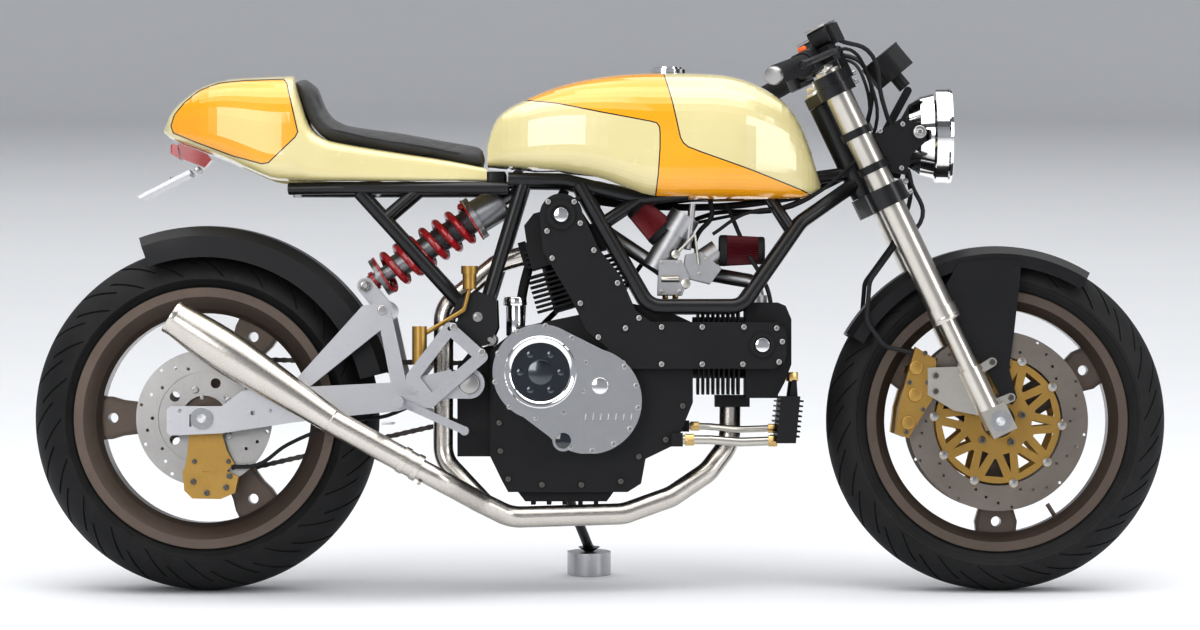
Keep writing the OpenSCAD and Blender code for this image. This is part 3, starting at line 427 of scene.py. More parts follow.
CREAM: Colour = (0.66, 0.58, 0.30)
YELLOW: Colour = (0.83, 0.36, 0.012)
LINE: Colour = (0.012, 0.010, 0.010)


@dataclass(frozen=True)
class TwoTone(Finish):
    """Gloss cream paint with a yellow panel, a black pinstripe and clear lacquer."""

    other: Colour = YELLOW
    stripe: float = 2.2

    def gap(self, graph: Graph, x: Value, z: Value) -> Tuple[Value, Value]:
        """How far a point lies from the panel's edge.

        Args:
            graph: the material's graph.
            x: distance ahead of the rear axle, in mm.
            z: height in the upright bike, in mm.

        Returns:
            Signed distance into the yellow panel, and the plain distance to its edge.
        """
        raise NotImplementedError

    def build(self) -> bpy.types.Material:
        """Makes the material."""
        graph = Graph(self.name)
        stance = Stance()
        x = graph.along(stance.ahead, stance.at(0, 0, 0))
        z = graph.along(stance.up, stance.at(0, 0, 0))
        inside, edge = self.gap(graph, x, z)
        panel = inside.step(-0.15, 0.15)
        soft = graph.noise(7.0, 3).step(0.3, 0.7)
        cream = graph.mix(soft, shade(self.colour, 0.97), shade(self.colour, 1.03))
        yellow = graph.mix(soft, shade(self.other, 0.95), shade(self.other, 1.05))
        base = graph.mix(panel, cream, yellow)
        line = 1 - edge.step(self.stripe / 2 - 0.2, self.stripe / 2 + 0.2)
        base = graph.mix(line, base, LINE)
        grime = graph.noise(25.0, 6, 0.7).step(0.6, 0.85)
        base = graph.mix(grime * 0.06, base, (0.2, 0.17, 0.12))
        peel = graph.noise(420.0, 2, 0.4)
        height = peel * 0.7 + line * 0.5
        return graph.finish(
            Base_Color=base, Roughness=grime * 0.2 + 0.24, Coat_Weight=1.0, Coat_Roughness=0.03,
            Normal=graph.bump(height, 0.00003, 0.35))


def from_line(x: Value, z: Value, points: Sequence[Tuple[float, float]]) -> Value:
    """Distance from a broken line in the side view.

    Args:
        x: distance ahead, in mm.
        z: height, in mm.
        points: the line's corners, in mm.

    Returns:
        The distance in mm.
    """
    best: Optional[Value] = None
    for (ax, az), (bx, bz) in zip(points, points[1:]):
        dx, dz = bx - ax, bz - az
        t = (((x - ax) * dx + (z - az) * dz) / (dx * dx + dz * dz)).clamp()
        u, v = x - ax - t * dx, z - az - t * dz
        away = (u * u + v * v).root()
        best = away if best is None else best.least(away)
    return best


@dataclass(frozen=True)
class TankPaint(TwoTone):
    """Paint of the fuel tank, with a seam behind and a seam ahead of the panel."""

    behind: Tuple[Tuple[float, float], ...] = (
        (500, 886), (575, 872), (629, 865), (701, 850), (791, 833), (803, 830), (808, 823), (809, 812),
        (809, 786), (806, 741), (800, 690))
    ahead: Tuple[Tuple[float, float], ...] = (
        (813, 940), (816, 921), (831, 867), (845, 804), (850, 795), (858, 788), (881, 779),
        (971, 748), (1061, 714), (1100, 696))

    def gap(self, graph: Graph, x: Value, z: Value) -> Tuple[Value, Value]:
        """Signed and plain distance from the two seams."""
        low, high = 690.0, 940.0
        sides = []
        for seam in (self.behind, self.ahead):
            rows = sorted((p[1], p[0]) for p in seam)
            stops = [((h - low) / (high - low), (across / 1200,) * 3) for h, across in rows]
            ramp = graph.node("ShaderNodeValToRGB", {"stops": stops},
                              {"Fac": (z - low) / (high - low)})
            split = graph.node("ShaderNodeSeparateColor", {}, {0: ramp.outputs[0]})
            sides.append(Value(graph, split.outputs[0]) * 1200)
        inside = (x - sides[0]).least(sides[1] - x)
        edge = from_line(x, z, self.behind).least(from_line(x, z, self.ahead))
        return inside, edge


@dataclass(frozen=True)
class TailPaint(TwoTone):
    """Paint of the tail, with a closed yellow panel on each side."""

    panel: Tuple[Tuple[float, float], ...] = (
        (-62, 829), (-55, 849), (-37, 870), (-10, 892), (26, 905), (71, 909), (140, 911), (147, 903),
        (156, 867), (168, 815), (163, 806), (116, 761), (104, 759), (53, 773), (-19, 800), (-57, 816))

    def gap(self, graph: Graph, x: Value, z: Value) -> Tuple[Value, Value]:
        """Signed and plain distance from the panel's outline."""
        worst: Optional[Value] = None
        for (ax, az), (bx, bz) in zip(self.panel, self.panel[1:] + self.panel[:1]):
            length = math.hypot(bx - ax, bz - az)
            nx, nz = -(bz - az) / length, (bx - ax) / length
            out = (x - ax) * nx + (z - az) * nz
            worst = out if worst is None else worst.most(out)
        edge = from_line(x, z, self.panel + self.panel[:1])
        return 0 - worst, edge


CAST, BRUSHED, TURNED = Grain.CAST, Grain.BRUSHED, Grain.TURNED
FRAME_BLACK = Finish("frame_black", (0.010, 0.010, 0.011), 0.34, coat=0.22, shine=0.35, slot="black_paint")
ENGINE_BLACK = Finish("engine_black", (0.012, 0.012, 0.013), 0.46, grain=CAST, relief=0.00010, shine=0.25,
                      slot="engine_black")
SATIN_BLACK = Finish("satin_black", (0.010, 0.010, 0.011), 0.38, coat=0.08, shine=0.3, slot="satin_plastic")
POLISHED = Finish("polished_alloy", (0.80, 0.80, 0.81), 0.11, 1.0, relief=0.00001, mottle=0.03,
                  dust=0.02, slot="polished_alloy")
MACHINED = Finish("machined_alloy", (0.52, 0.52, 0.54), 0.30, 1.0, grain=BRUSHED, relief=0.00001,
                  mottle=0.03, dust=0.015, slot="polished_alloy")
CAST_ALLOY = Finish("cast_alloy", (0.42, 0.42, 0.43), 0.42, 1.0, grain=CAST, relief=0.00008,
                    slot="cast_alloy")
STAINLESS = Finish("stainless", (0.60, 0.565, 0.52), 0.26, 1.0, grain=BRUSHED, relief=0.00001,
                   mottle=0.04, dust=0.02, slot="stainless")
STEEL = Finish("steel", (0.40, 0.39, 0.38), 0.30, 1.0, grain=TURNED, dust=0.03, slot="steel")
DARK_STEEL = Finish("dark_steel", (0.13, 0.12, 0.11), 0.38, 0.9, dust=0.14, slot="steel")
DISC_STEEL = Finish("disc_steel", (0.24, 0.21, 0.185), 0.36, 0.9, grain=TURNED, dust=0.03, slot="steel")
ZINC = Finish("zinc", (0.55, 0.53, 0.48), 0.30, 1.0, grain=TURNED, slot="steel")
CHROME = Finish("chrome", (0.86, 0.86, 0.87), 0.05, 1.0, relief=0.00001, mottle=0.02,
                dust=0.01, slot="chrome")
GOLD = Finish("gold_anodised", (0.40, 0.25, 0.075), 0.36, 0.85, grain=CAST, relief=0.00005,
              slot="gold_anodised")
BRONZE = Finish("wheel_bronze", (0.115, 0.088, 0.072), 0.38, 0.55, coat=0.3, grain=CAST,
                relief=0.00004, slot="bronze_paint")
FORK_ALLOY = Finish("fork_alloy", (0.60, 0.57, 0.52), 0.30, 1.0, grain=TURNED, relief=0.00001,
                    mottle=0.04, dust=0.02, slot="stainless")
SPRING_RED = Finish("spring_red", (0.42, 0.012, 0.018), 0.30, coat=0.5, slot="red_spring")
SHOCK_GREY = Finish("shock_grey", (0.28, 0.28, 0.29), 0.36, 0.9, grain=TURNED, slot="cast_alloy")
RED_GAUZE = Gauze("red_gauze", (0.36, 0.05, 0.06), 0.5, slot="filter_gauze")
WINE_GAUZE = Gauze("wine_gauze", (0.16, 0.012, 0.022), 0.5, slot="filter_gauze")
TYRE = Rubber("tyre_rubber", (0.0125, 0.0125, 0.013), 0.50, slot="tyre_rubber")
SOFT_RUBBER = Rubber("soft_rubber", (0.018, 0.018, 0.019), 0.6, slot="soft_rubber")
HIDE = Leather("black_leather", (0.020, 0.020, 0.022), 0.42, scale=420.0, slot="black_leather")
CLEAR = Glass("clear_lens", (0.97, 0.98, 0.99), 0.01, slot="clear_lens")
SMOKED = Finish("dark_glass", (0.010, 0.014, 0.020), 0.05, coat=1.0, relief=0.00001, slot="dark_glass")
RED_LENS = Finish("red_lens", (0.36, 0.004, 0.006), 0.12, coat=0.6, slot="clear_lens")
ORANGE = Finish("orange_plastic", (0.85, 0.13, 0.012), 0.3, slot="dark_gloss")
BRASS = Finish("brass", (0.60, 0.42, 0.18), 0.28, 1.0, grain=TURNED, slot="gold_anodised")
TANK = TankPaint("tank_paint", CREAM, 0.2, slot="cream_paint")
TAIL = TailPaint("tail_paint", CREAM, 0.2, slot="cream_paint")

CAD_FINISHES: Dict[Finish, Tuple[str, ...]] = {
    FRAME_BLACK: ("main_frame", "rear_subframe", "lower_clamp", "top_clamp", "side_stand", "clip_ons"),
    ENGINE_BLACK: ("crankcase", "cylinders", "cylinder_heads", "belt_covers", "left_covers", "oil_cooler"),
    SATIN_BLACK: ("rear_hugger", "front_fender", "headlight_bracket", "gauge", "hand_levers"),
    POLISHED: ("clutch_cover", "fuel_cap", "rear_axle", "front_axle"),
    MACHINED: ("swingarm", "rearsets", "foot_pedals", "stand_puck", "plate_holder"),
    CAST_ALLOY: ("carburettors",),
    STAINLESS: ("exhaust_headers", "silencer"),
    FORK_ALLOY: ("fork_tubes", "fork_sliders"),
    DISC_STEEL: ("front_discs",),
    STEEL: ("rear_disc",),
    DARK_STEEL: ("chain", "rear_sprocket"),
    ZINC: ("oil_lines",),
    CHROME: ("headlight_body",),
    CLEAR: ("headlight_lens",),
    SMOKED: ("clutch_window",),
    GOLD: ("disc_carriers", "front_calipers", "rear_caliper", "rear_brake_reservoir"),
    BRONZE: ("front_rim", "rear_rim"),
    SPRING_RED: ("shock_spring",),
    SHOCK_GREY: ("shock_absorber",),
    RED_LENS: ("tail_light",),
    RED_GAUZE: ("air_filters",),
    TYRE: ("front_tyre", "rear_tyre"),
    SOFT_RUBBER: ("grips", "brake_hoses"),
    HIDE: ("seat_pad",),
    TANK: ("fuel_tank",),
    TAIL: ("tail_unit",),
}


class Paintshop:
    """Makes each finish once and puts it on pieces."""

    made: Dict[str, bpy.types.Material] = {}

    @classmethod
    def material(cls, finish: Finish) -> bpy.types.Material:
        """The finish's material, built the first time it is asked for."""
        if finish.name not in cls.made:
            cls.made[finish.name] = finish.build()
        return cls.made[finish.name]

    @classmethod
    def dress_cad(cls) -> None:
        """Puts every CAD node's finish in its material slots."""
        for finish, names in CAD_FINISHES.items():
            for name in names:
                for held in frame["nodes"][name].material_slots:
                    held.material = cls.material(finish)
        LOG.info("dressed %d CAD nodes", sum(len(n) for n in CAD_FINISHES.values()))


# ---------- shapes ----------


def facing(at: Vector, direction: Vector) -> Matrix:
    """Matrix that puts local Z along a direction, at a point."""
    turn = Vector((0, 0, 1)).rotation_difference(direction.normalized())
    return Matrix.Translation(at) @ turn.to_matrix().to_4x4()


@dataclass
class Shape:
    """A mesh under construction in the row frame."""

    bm: bmesh.types.BMesh = field(default_factory=bmesh.new)

    def rod(self, start: Vector, end: Vector, radius: float, radius_end: Optional[float] = None,
            sides: int = 24, bevel: float = 0.0) -> List[Any]:
        """Adds a round bar or cone.

        Args:
            start: centre of one end, in metres.
            end: centre of the other end.
            radius: radius at the start.
            radius_end: radius at the end, the same if left out.
            sides: number of sides.
            bevel: size of the rounded edges.

        Returns:
            The vertices added.
        """
        reach = end - start
        made = bmesh.ops.create_cone(
            self.bm, cap_ends=True, segments=sides, radius1=radius,
            radius2=radius if radius_end is None else radius_end, depth=reach.length,
            matrix=facing((start + end) / 2, reach))["verts"]
        if bevel:
            rims = [e for v in made for e in v.link_edges
                    if len(e.link_faces) == 2 and e.calc_face_angle(0) > 1.0]
            bmesh.ops.bevel(self.bm, geom=list(set(rims)), offset=bevel, offset_type="OFFSET",
                            segments=2, profile=0.5, affect="EDGES", material=-1)
        return made

    def block(self, at: Vector, size: Sequence[float], basis: Matrix, bevel: float = 0.0) -> None:
        """Adds a box of full size, turned by a 3x3 basis, with rounded edges."""
        scale = Matrix.Diagonal((*size, 1.0))
        made = bmesh.ops.create_cube(
            self.bm, size=1.0, matrix=Matrix.Translation(at) @ basis.to_4x4() @ scale)["verts"]
        if bevel:
            edges = list({e for v in made for e in v.link_edges})
            bmesh.ops.bevel(self.bm, geom=edges, offset=bevel, offset_type="OFFSET", segments=3,
                            profile=0.5, affect="EDGES", material=-1)

    def spin(self, profile: Sequence[Tuple[float, float]], place: Matrix, steps: int = 96,
             closed: bool = True) -> List[Any]:
        """Turns a profile about local Z.

        Args:
            profile: (radius, height) pairs, in metres.
            place: matrix of the local frame.
            steps: number of steps in the full turn.
            closed: whether the profile's last point joins its first.

        Returns:
            The faces made.
        """
        verts = [self.bm.verts.new((r, 0.0, h)) for r, h in profile]
        pairs = list(zip(verts, verts[1:] + verts[:1] if closed else verts[1:]))
        edges = [self.bm.edges.new(p) for p in pairs]
        old = set(self.bm.faces)
        bmesh.ops.spin(self.bm, geom=verts + edges, cent=(0, 0, 0), axis=(0, 0, 1), dvec=(0, 0, 0),
                       angle=FULL_TURN, steps=steps, use_merge=True, use_duplicate=False)
        faces = [f for f in self.bm.faces if f not in old]
        moved = list({v for f in faces for v in f.verts})
        bmesh.ops.remove_doubles(self.bm, verts=moved, dist=1e-6)
        faces = [f for f in self.bm.faces if f not in old]
        moved = list({v for f in faces for v in f.verts})
        bmesh.ops.transform(self.bm, matrix=place, verts=moved)
        bmesh.ops.recalc_face_normals(self.bm, faces=faces)
        return faces

    def bolt(self, at: Vector, direction: Vector, radius: float, height: float) -> None:
        """Adds a socket-headed bolt whose head stands up from a surface."""
        axis = direction.normalized()
        verts = self.rod(at - axis * height * 0.3, at + axis * height, radius, radius * 0.94, 16)
        top = max((f for v in verts for f in v.link_faces), key=lambda f: f.calc_center_median().dot(axis))
        bmesh.ops.inset_region(self.bm, faces=[top], thickness=radius * 0.14, depth=radius * 0.10)
        bmesh.ops.inset_region(self.bm, faces=[top], thickness=radius * 0.30, depth=0.0)
        bmesh.ops.inset_region(self.bm, faces=[top], thickness=radius * 0.02, depth=-height * 0.55)

    def nut(self, at: Vector, direction: Vector, radius: float, height: float) -> None:
        """Adds a hexagon nut with a washer and a domed stud end."""
        axis = direction.normalized()
        self.rod(at, at + axis * height * 0.2, radius * 1.25, sides=24)
        self.rod(at + axis * height * 0.2, at + axis * height, radius, radius * 0.97, 6, radius * 0.06)
        self.rod(at + axis * height, at + axis * height * 1.35, radius * 0.55, radius * 0.45, 16)

    def piece(self, name: str, body: Body, finish: Finish, smooth: float = 40.0,
              outward: bool = True) -> bpy.types.Object:
        """Finishes the mesh as a piece of the object.

        Args:
            name: the piece's name.
            body: the CAD body it rides on.
            finish: its finish.
            smooth: edges sharper than this many degrees stay crisp.
            outward: whether normals are recalculated.

        Returns:
            The object.
        """
        if outward:
            bmesh.ops.recalc_face_normals(self.bm, faces=self.bm.faces[:])
        limit = math.radians(smooth)
        for face in self.bm.faces:
            face.smooth = True
        for edge in self.bm.edges:
            edge.smooth = not edge.is_manifold or edge.calc_face_angle(0) < limit
        mesh = bpy.data.meshes.new(name)
        self.bm.to_mesh(mesh)
        self.bm.free()
        made = bpy.data.objects.new(name, mesh)
        bpy.context.scene.collection.objects.link(made)
        mesh.materials.append(Paintshop.material(finish))
        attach(made, body.value)
        LOG.info("%s: %d faces on %s", name, len(mesh.polygons), body.value)
        return made


def tube(name: str, body: Union[Body, Tuple[Body, Body]], finish: Finish, points: Sequence[Vector],
         radius: float) -> bpy.types.Object:
    """Makes a cable or hose along smooth points.

    Args:
        name: the piece's name.
        body: the body it rides on; given the two that it joins, it rides on neither and stays where it is
            built.
        finish: its finish.
        points: the route, in metres.
        radius: its radius, in metres.

    Returns:
        The object.
    """
    curve = bpy.data.curves.new(name, "CURVE")
    curve.dimensions = "3D"
    curve.bevel_depth = radius
    curve.bevel_resolution = 3
    curve.use_fill_caps = True
    curve.resolution_u = 6
    spline = curve.splines.new("BEZIER")
    spline.bezier_points.add(len(points) - 1)
    for knot, point in zip(spline.bezier_points, points):
        knot.co = point
        knot.handle_left_type = knot.handle_right_type = "AUTO"
    held = bpy.data.objects.new(name + "_route", curve)
    bpy.context.scene.collection.objects.link(held)
    bpy.context.view_layer.update()
    mesh = bpy.data.meshes.new_from_object(held.evaluated_get(bpy.context.evaluated_depsgraph_get()))
    bpy.data.objects.remove(held)
    mesh.name = name
    for face in mesh.polygons:
        face.use_smooth = len(face.vertices) == 4
    mesh.materials.clear()
    mesh.materials.append(Paintshop.material(finish))
    made = bpy.data.objects.new(name, mesh)
    bpy.context.scene.collection.objects.link(made)
    if isinstance(body, Body):
        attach(made, body.value)
    else:
        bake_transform(made)
    LOG.info("%s: cable of %d points", name, len(points))
    return made


# ---------- wheels and chain ----------


@dataclass
class Tyre:
    """A road tyre with a round crown, ribbed side walls and swept grooves; sizes in mm."""

    stance: Stance
    node: str
    body: Body
    radius: float
    width: float
    crown: float
    rim_w: float
    steps: int = 264
    repeat: int = 12
    lip: float = 233.0
    wall: float = 11.0
    groove: float = 2.6
    sweep: float = 0.34
    long_span: Tuple[float, float] = (0.14, 0.72)
    short_span: Tuple[float, float] = (0.50, 0.93)
    short_lag: int = 4

    def outline(self) -> List[Tuple[float, float]]:
        """Closed section of the tyre as (radius, offset) pairs, in metres."""
        foot = self.radius - self.crown
        swing = math.asin(min(0.97, self.width / 2 / self.crown))
        edge = self.rim_w / 2 - 6.3
        shoulder = foot + self.crown * math.cos(swing)
        half = [(foot + self.crown * math.cos(swing * i / 16), self.crown * math.sin(swing * i / 16))
                for i in range(17)]
        for share, proud in ((0.18, 0.3), (0.22, 0.9), (0.27, 0.3), (0.55, 0.2), (0.58, 0.8), (0.63, 0.2)):
            r = shoulder + (self.lip + 4 - shoulder) * share
            half.append((r, self.width / 2 + proud - share * (self.width / 2 - edge - 3)))
        half += [(self.lip + 3, edge + 3), (self.lip, edge), (self.lip - 12, edge - 1),
                 (self.lip - 12, edge - 14), (self.lip + 4, edge - 8)]
        inner = self.crown - self.wall
        half += [(foot + inner * math.cos(swing * t), inner * math.sin(swing * t)) for t in (0.8, 0.5, 0.2)]
        mirrored = [(r, -h) for r, h in reversed(half)]
        return [(r * MM, h * MM) for r, h in half + mirrored[:-1]]

    def tread(self, shape: Shape) -> None:
        """Sinks the grooves and sweeps them round the crown."""
        foot = (self.radius - self.crown) * MM
        swing = math.asin(min(0.97, self.width / 2 / self.crown))
        step = FULL_TURN / self.steps
        sunk = []
        for face in shape.bm.faces:
            mid = face.calc_center_median()
            radial = math.hypot(mid.x, mid.y)
            if math.hypot(radial - foot, mid.z) < (self.crown - 2) * MM or radial < foot:
                continue
            phi = math.atan2(mid.z, radial - foot) / swing
            column = int(math.floor(math.atan2(mid.y, mid.x) / step)) % self.repeat
            first = 0 if phi > 0 else self.repeat // 2
            second = (first + self.short_lag) % self.repeat
            in_long = self.long_span[0] < abs(phi) < self.long_span[1] and column == first
            in_short = self.short_span[0] < abs(phi) < self.short_span[1] and column == second
            if in_long or in_short:
                sunk.append(face)
        bmesh.ops.inset_region(shape.bm, faces=sunk, thickness=0.0007, depth=-self.groove * MM,
                               use_even_offset=True)
        for vert in shape.bm.verts:
            radial = math.hypot(vert.co.x, vert.co.y)
            phi = min(1.0, abs(math.atan2(vert.co.z, max(radial - foot, 1e-6))) / swing)
            turn = self.sweep * phi ** 1.4
            x, y = vert.co.x, vert.co.y
            vert.co.x = x * math.cos(turn) - y * math.sin(turn)
            vert.co.y = x * math.sin(turn) + y * math.cos(turn)

    def build(self) -> None:
        """Makes the tyre in place of its CAD solid."""
        centre = self.stance.front if self.body is Body.FRONT_WHEEL else self.stance.rear
        shape = Shape()
        shape.spin(self.outline(), Matrix.Identity(4), self.steps)
        self.tread(shape)
        bmesh.ops.transform(shape.bm, matrix=self.stance.turn(centre), verts=shape.bm.verts[:])
        made = shape.piece(self.node + "_treaded", self.body, TYRE, 42)
        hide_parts(self.node)


class Wheels:
    """Both tyres and the small parts of the wheels."""

    def __init__(self, stance: Stance) -> None:
        """Keeps the stance."""
        self.stance = stance

    def build(self) -> None:
        """Builds tyres, hub bolts, buttons and the sprocket teeth."""
        Tyre(self.stance, "front_tyre", Body.FRONT_WHEEL, 303, 120, 62, 101).build()
        Tyre(self.stance, "rear_tyre", Body.REAR_WHEEL, 308, 170, 90, 152).build()
        self.buttons()
        self.rear_parts()

    def buttons(self) -> None:
        """Spring washers on the disc buttons, and the carrier bolts."""
        s, shape, bolts = self.stance, Shape(), Shape()
        for side in (-1, 1):
            out = s.left * side
            hub = s.front + out * 0.0685
            for i in range(10):
                a = math.radians(36 * i - 4)
                at = hub + s.ahead * (0.114 * math.cos(a)) + s.up * (0.114 * math.sin(a)) + out * 0.0005
                for r, h in ((0.0078, 0.0016), (0.0052, 0.0026)):
                    shape.rod(at - out * 0.001, at + out * h, r, sides=20, bevel=0.0003)
            for i in range(5):
                a = math.radians(72 * i + 14)
                at = hub + s.ahead * (0.044 * math.cos(a)) + s.up * (0.044 * math.sin(a)) - out * 0.0006
                bolts.bolt(at, out, 0.0068, 0.006)
        shape.piece("disc_button_caps", Body.FRONT_WHEEL, STEEL)
        bolts.piece("carrier_bolts", Body.FRONT_WHEEL, DARK_STEEL)

    def rear_parts(self) -> None:
        """Rear disc bolts, sprocket nuts and teeth."""
        s, bolts = self.stance, Shape()
        for i in range(5):
            a = math.radians(72 * i + 36)
            away = s.ahead * math.cos(a) + s.up * math.sin(a)
            bolts.bolt(s.rear - s.left * 0.078 + away * 0.053, -s.left, 0.0068, 0.006)
            bolts.nut(s.rear + s.left * 0.100 + away * 0.050, s.left, 0.0075, 0.007)
        bolts.piece("rear_hub_bolts", Body.REAR_WHEEL, STEEL)
        teeth, count = bmesh.new(), Drive.teeth
        ring = bmesh.ops.create_circle(teeth, segments=count * 4, radius=0.0995)["verts"]
        for vert in ring:
            k = round(math.atan2(vert.co.y, vert.co.x) / FULL_TURN * count * 4) % 4
            vert.co.xy = vert.co.xy * {0: 1.062, 1: 1.02, 2: 0.985, 3: 1.02}[k]
        inner = bmesh.ops.create_circle(teeth, segments=count * 4, radius=0.0905)["verts"]
        edges = [e for v in ring + inner for e in v.link_edges]
        flat = bmesh.ops.bridge_loops(teeth, edges=list(set(edges)))["faces"]
        wide = bmesh.ops.extrude_face_region(teeth, geom=flat)["geom"]
        bmesh.ops.translate(teeth, vec=(0, 0, 0.0046),
                            verts=[g for g in wide if isinstance(g, bmesh.types.BMVert)])
        bmesh.ops.translate(teeth, vec=(0, 0, 0.0947), verts=teeth.verts[:])
        bmesh.ops.transform(teeth, matrix=s.turn(s.rear), verts=teeth.verts[:])
        Shape(teeth).piece("sprocket_teeth", Body.REAR_WHEEL, STEEL, 30)


@dataclass
class Drive:
    """The drive chain: rollers and side plates along its loop; sizes in mm."""

    stance: Stance
    rear_r: float = 105.8
    front_r: float = 40.0
    line: float = 97.0
    front_at: Tuple[float, float] = (540.0, 365.0)
    teeth = 44

    def loop(self) -> Tuple[float, Callable[[float], Tuple[float, float, float]]]:
        """Length of the chain line and a function from distance to place and heading."""
        rear_z = (self.stance.rear - self.stance.at(0, 0, 0)).dot(self.stance.up) / MM
        dx, dz = self.front_at[0], self.front_at[1] - rear_z
        span = math.hypot(dx, dz)
        lean, spread = math.atan2(dz, dx), math.acos((self.rear_r - self.front_r) / span)
        run = math.sqrt(span ** 2 - (self.rear_r - self.front_r) ** 2)
        back, nose = self.rear_r * (FULL_TURN - 2 * spread), self.front_r * 2 * spread
        total = back + nose + 2 * run

        def where(s: float) -> Tuple[float, float, float]:
            """Place ahead, height and heading at a distance along the loop."""
            s %= total
            if s < back:
                a = lean + spread + s / self.rear_r
                return self.rear_r * math.cos(a), rear_z + self.rear_r * math.sin(a), a + math.pi / 2
            s -= back
            low = lean - spread
            if s < run:
                x, z = self.rear_r * math.cos(low), rear_z + self.rear_r * math.sin(low)
                a = low + math.pi / 2
                return x + s * math.cos(a), z + s * math.sin(a), a
            s -= run
            if s < nose:
                a = low + s / self.front_r
                return (self.front_at[0] + self.front_r * math.cos(a),
                        self.front_at[1] + self.front_r * math.sin(a), a + math.pi / 2)
            s -= nose
            high = lean + spread
            a = high + math.pi / 2
            x = self.front_at[0] + self.front_r * math.cos(high)
            return x + s * math.cos(a), self.front_at[1] + self.front_r * math.sin(high) + s * math.sin(a), a

        return total, where

    def plate(self, shape: Shape, a: Vector, b: Vector, offset: float, thick: float) -> None:
        """Adds one figure-of-eight side plate between two pins."""
        s = self.stance
        along = (b - a).normalized()
        rise = s.left.cross(along)
        mid, half = (a + b) / 2 + s.left * offset, (b - a).length / 2
        ring = bmesh.ops.create_circle(shape.bm, segments=16, radius=1.0, cap_ends=True)["verts"]
        for vert in ring:
            u, v = vert.co.x, vert.co.y
            reach = math.copysign(half, u) if abs(u) > 0.2 else 0.0
            tall = 5.3 * MM * (0.72 if abs(u) < 0.2 else 1.0)
            vert.co = mid + along * (reach + u * 5.0 * MM) + rise * v * tall - s.left * thick / 2
        face = next(f for f in ring[0].link_faces)
        wide = bmesh.ops.extrude_face_region(shape.bm, geom=[face])["geom"]
        bmesh.ops.translate(shape.bm, vec=s.left * thick,
                            verts=[g for g in wide if isinstance(g, bmesh.types.BMVert)])

    def build(self) -> None:
        """Makes the chain in place of its CAD belt."""
        s, shape = self.stance, Shape()
        total, where = self.loop()
        count = 2 * round(total / (FULL_TURN * self.rear_r / self.teeth) / 2)
        pins = [s.at(x, self.line, z) for x, z, _ in (where((i + 0.5) * total / count) for i in range(count))]
        for i, (a, b) in enumerate(zip(pins, pins[1:] + pins[:1])):
            shape.rod(a - s.left * 0.0060, a + s.left * 0.0060, 0.0020, sides=8)
            shape.rod(a - s.left * 0.0028, a + s.left * 0.0028, 0.0046, sides=12)
            for side in (-1, 1):
                self.plate(shape, a, b, side * (0.0048 if i % 2 else 0.0033), 0.0012)
        made = shape.piece("chain_links", Body.FRAME, DARK_STEEL, 35)
        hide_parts("chain")


# ---------- seat ----------


@dataclass
class Seat:
    """The padded seat: a stuffed leather pad with piping along both edges."""

    stance: Stance
    voxel: float = 0.005
    start: float = 0.0028
    cap: float = 0.0055
    pressure: float = 4.0

    def swell(self, obj: bpy.types.Object) -> None:
        """Lets the pad fill under pressure, with a limit on how far a point may move."""
        before = [v.co.copy() for v in obj.data.vertices]
        cloth = obj.modifiers.new("fill", "CLOTH").settings
        cloth.use_pressure = True
        cloth.uniform_pressure_force = self.pressure
        cloth.effector_weights.gravity = 0.0
        for step in range(1, 21):
            bpy.context.scene.frame_set(step)
        shaped = obj.evaluated_get(bpy.context.evaluated_depsgraph_get()).to_mesh()
        after = [v.co.copy() for v in shaped.vertices]
        obj.modifiers.clear()
        for vert, old, new in zip(obj.data.vertices, before, after):
            move = new - old
            vert.co = old + (move.normalized() * min(move.length, self.cap) if move.length > 1e-9 else move)
        bpy.context.scene.frame_set(1)

    def build(self) -> None:
        """Makes the pad and its piping."""
        bm = bmesh.new()
        bm.from_mesh(frame["nodes"]["seat_pad"].data)
        bmesh.ops.remove_doubles(bm, verts=bm.verts[:], dist=1e-5)
        bmesh.ops.recalc_face_normals(bm, faces=bm.faces[:])
        pad = Shape(bm).piece("seat_cushion", Body.FRAME, HIDE, 180)
        remesh = pad.modifiers.new("remesh", "REMESH")
        remesh.mode, remesh.voxel_size = "VOXEL", self.voxel
        smooth = pad.modifiers.new("smooth", "SMOOTH")
        smooth.factor, smooth.iterations = 0.5, 4
        bpy.context.view_layer.update()
        held = pad.evaluated_get(bpy.context.evaluated_depsgraph_get())
        pad.data = bpy.data.meshes.new_from_object(held)
        pad.modifiers.clear()
        for vert in pad.data.vertices:
            vert.co -= vert.normal * self.start
        self.swell(pad)
        fine = pad.modifiers.new("fine", "SUBSURF")
        fine.levels = fine.render_levels = 1
        for face in pad.data.polygons:
            face.use_smooth = True
        pad.data.materials.clear()
        pad.data.materials.append(Paintshop.material(HIDE))
        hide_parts("seat_pad")
        self.piping(pad)

    def piping(self, pad: bpy.types.Object) -> None:
        """Sewn cord along the widest line of each side."""
        s = self.stance
        base = s.at(0, 0, 0)
        for side, name in ((-1, "right"), (1, "left")):
            rows: Dict[int, Vector] = {}
            for vert in pad.data.vertices:
                key = round((vert.co - base).dot(s.ahead) / 0.02)
                best = rows.get(key)
                if best is None or (vert.co - best).dot(s.left) * side > 0:
                    rows[key] = vert.co.copy()
            keys = sorted(rows)[2:-1]
            points = [(rows[a] + rows[b] + rows[c]) / 3 + s.up * 0.003 - s.left * side * 0.0006
                      for a, b, c in zip(keys, keys[1:], keys[2:])]
            tube(f"seat_piping_{name}", Body.FRAME, HIDE, points, 0.0022)


# ---------- bolts and fittings ----------

Row = Tuple[float, float, float]


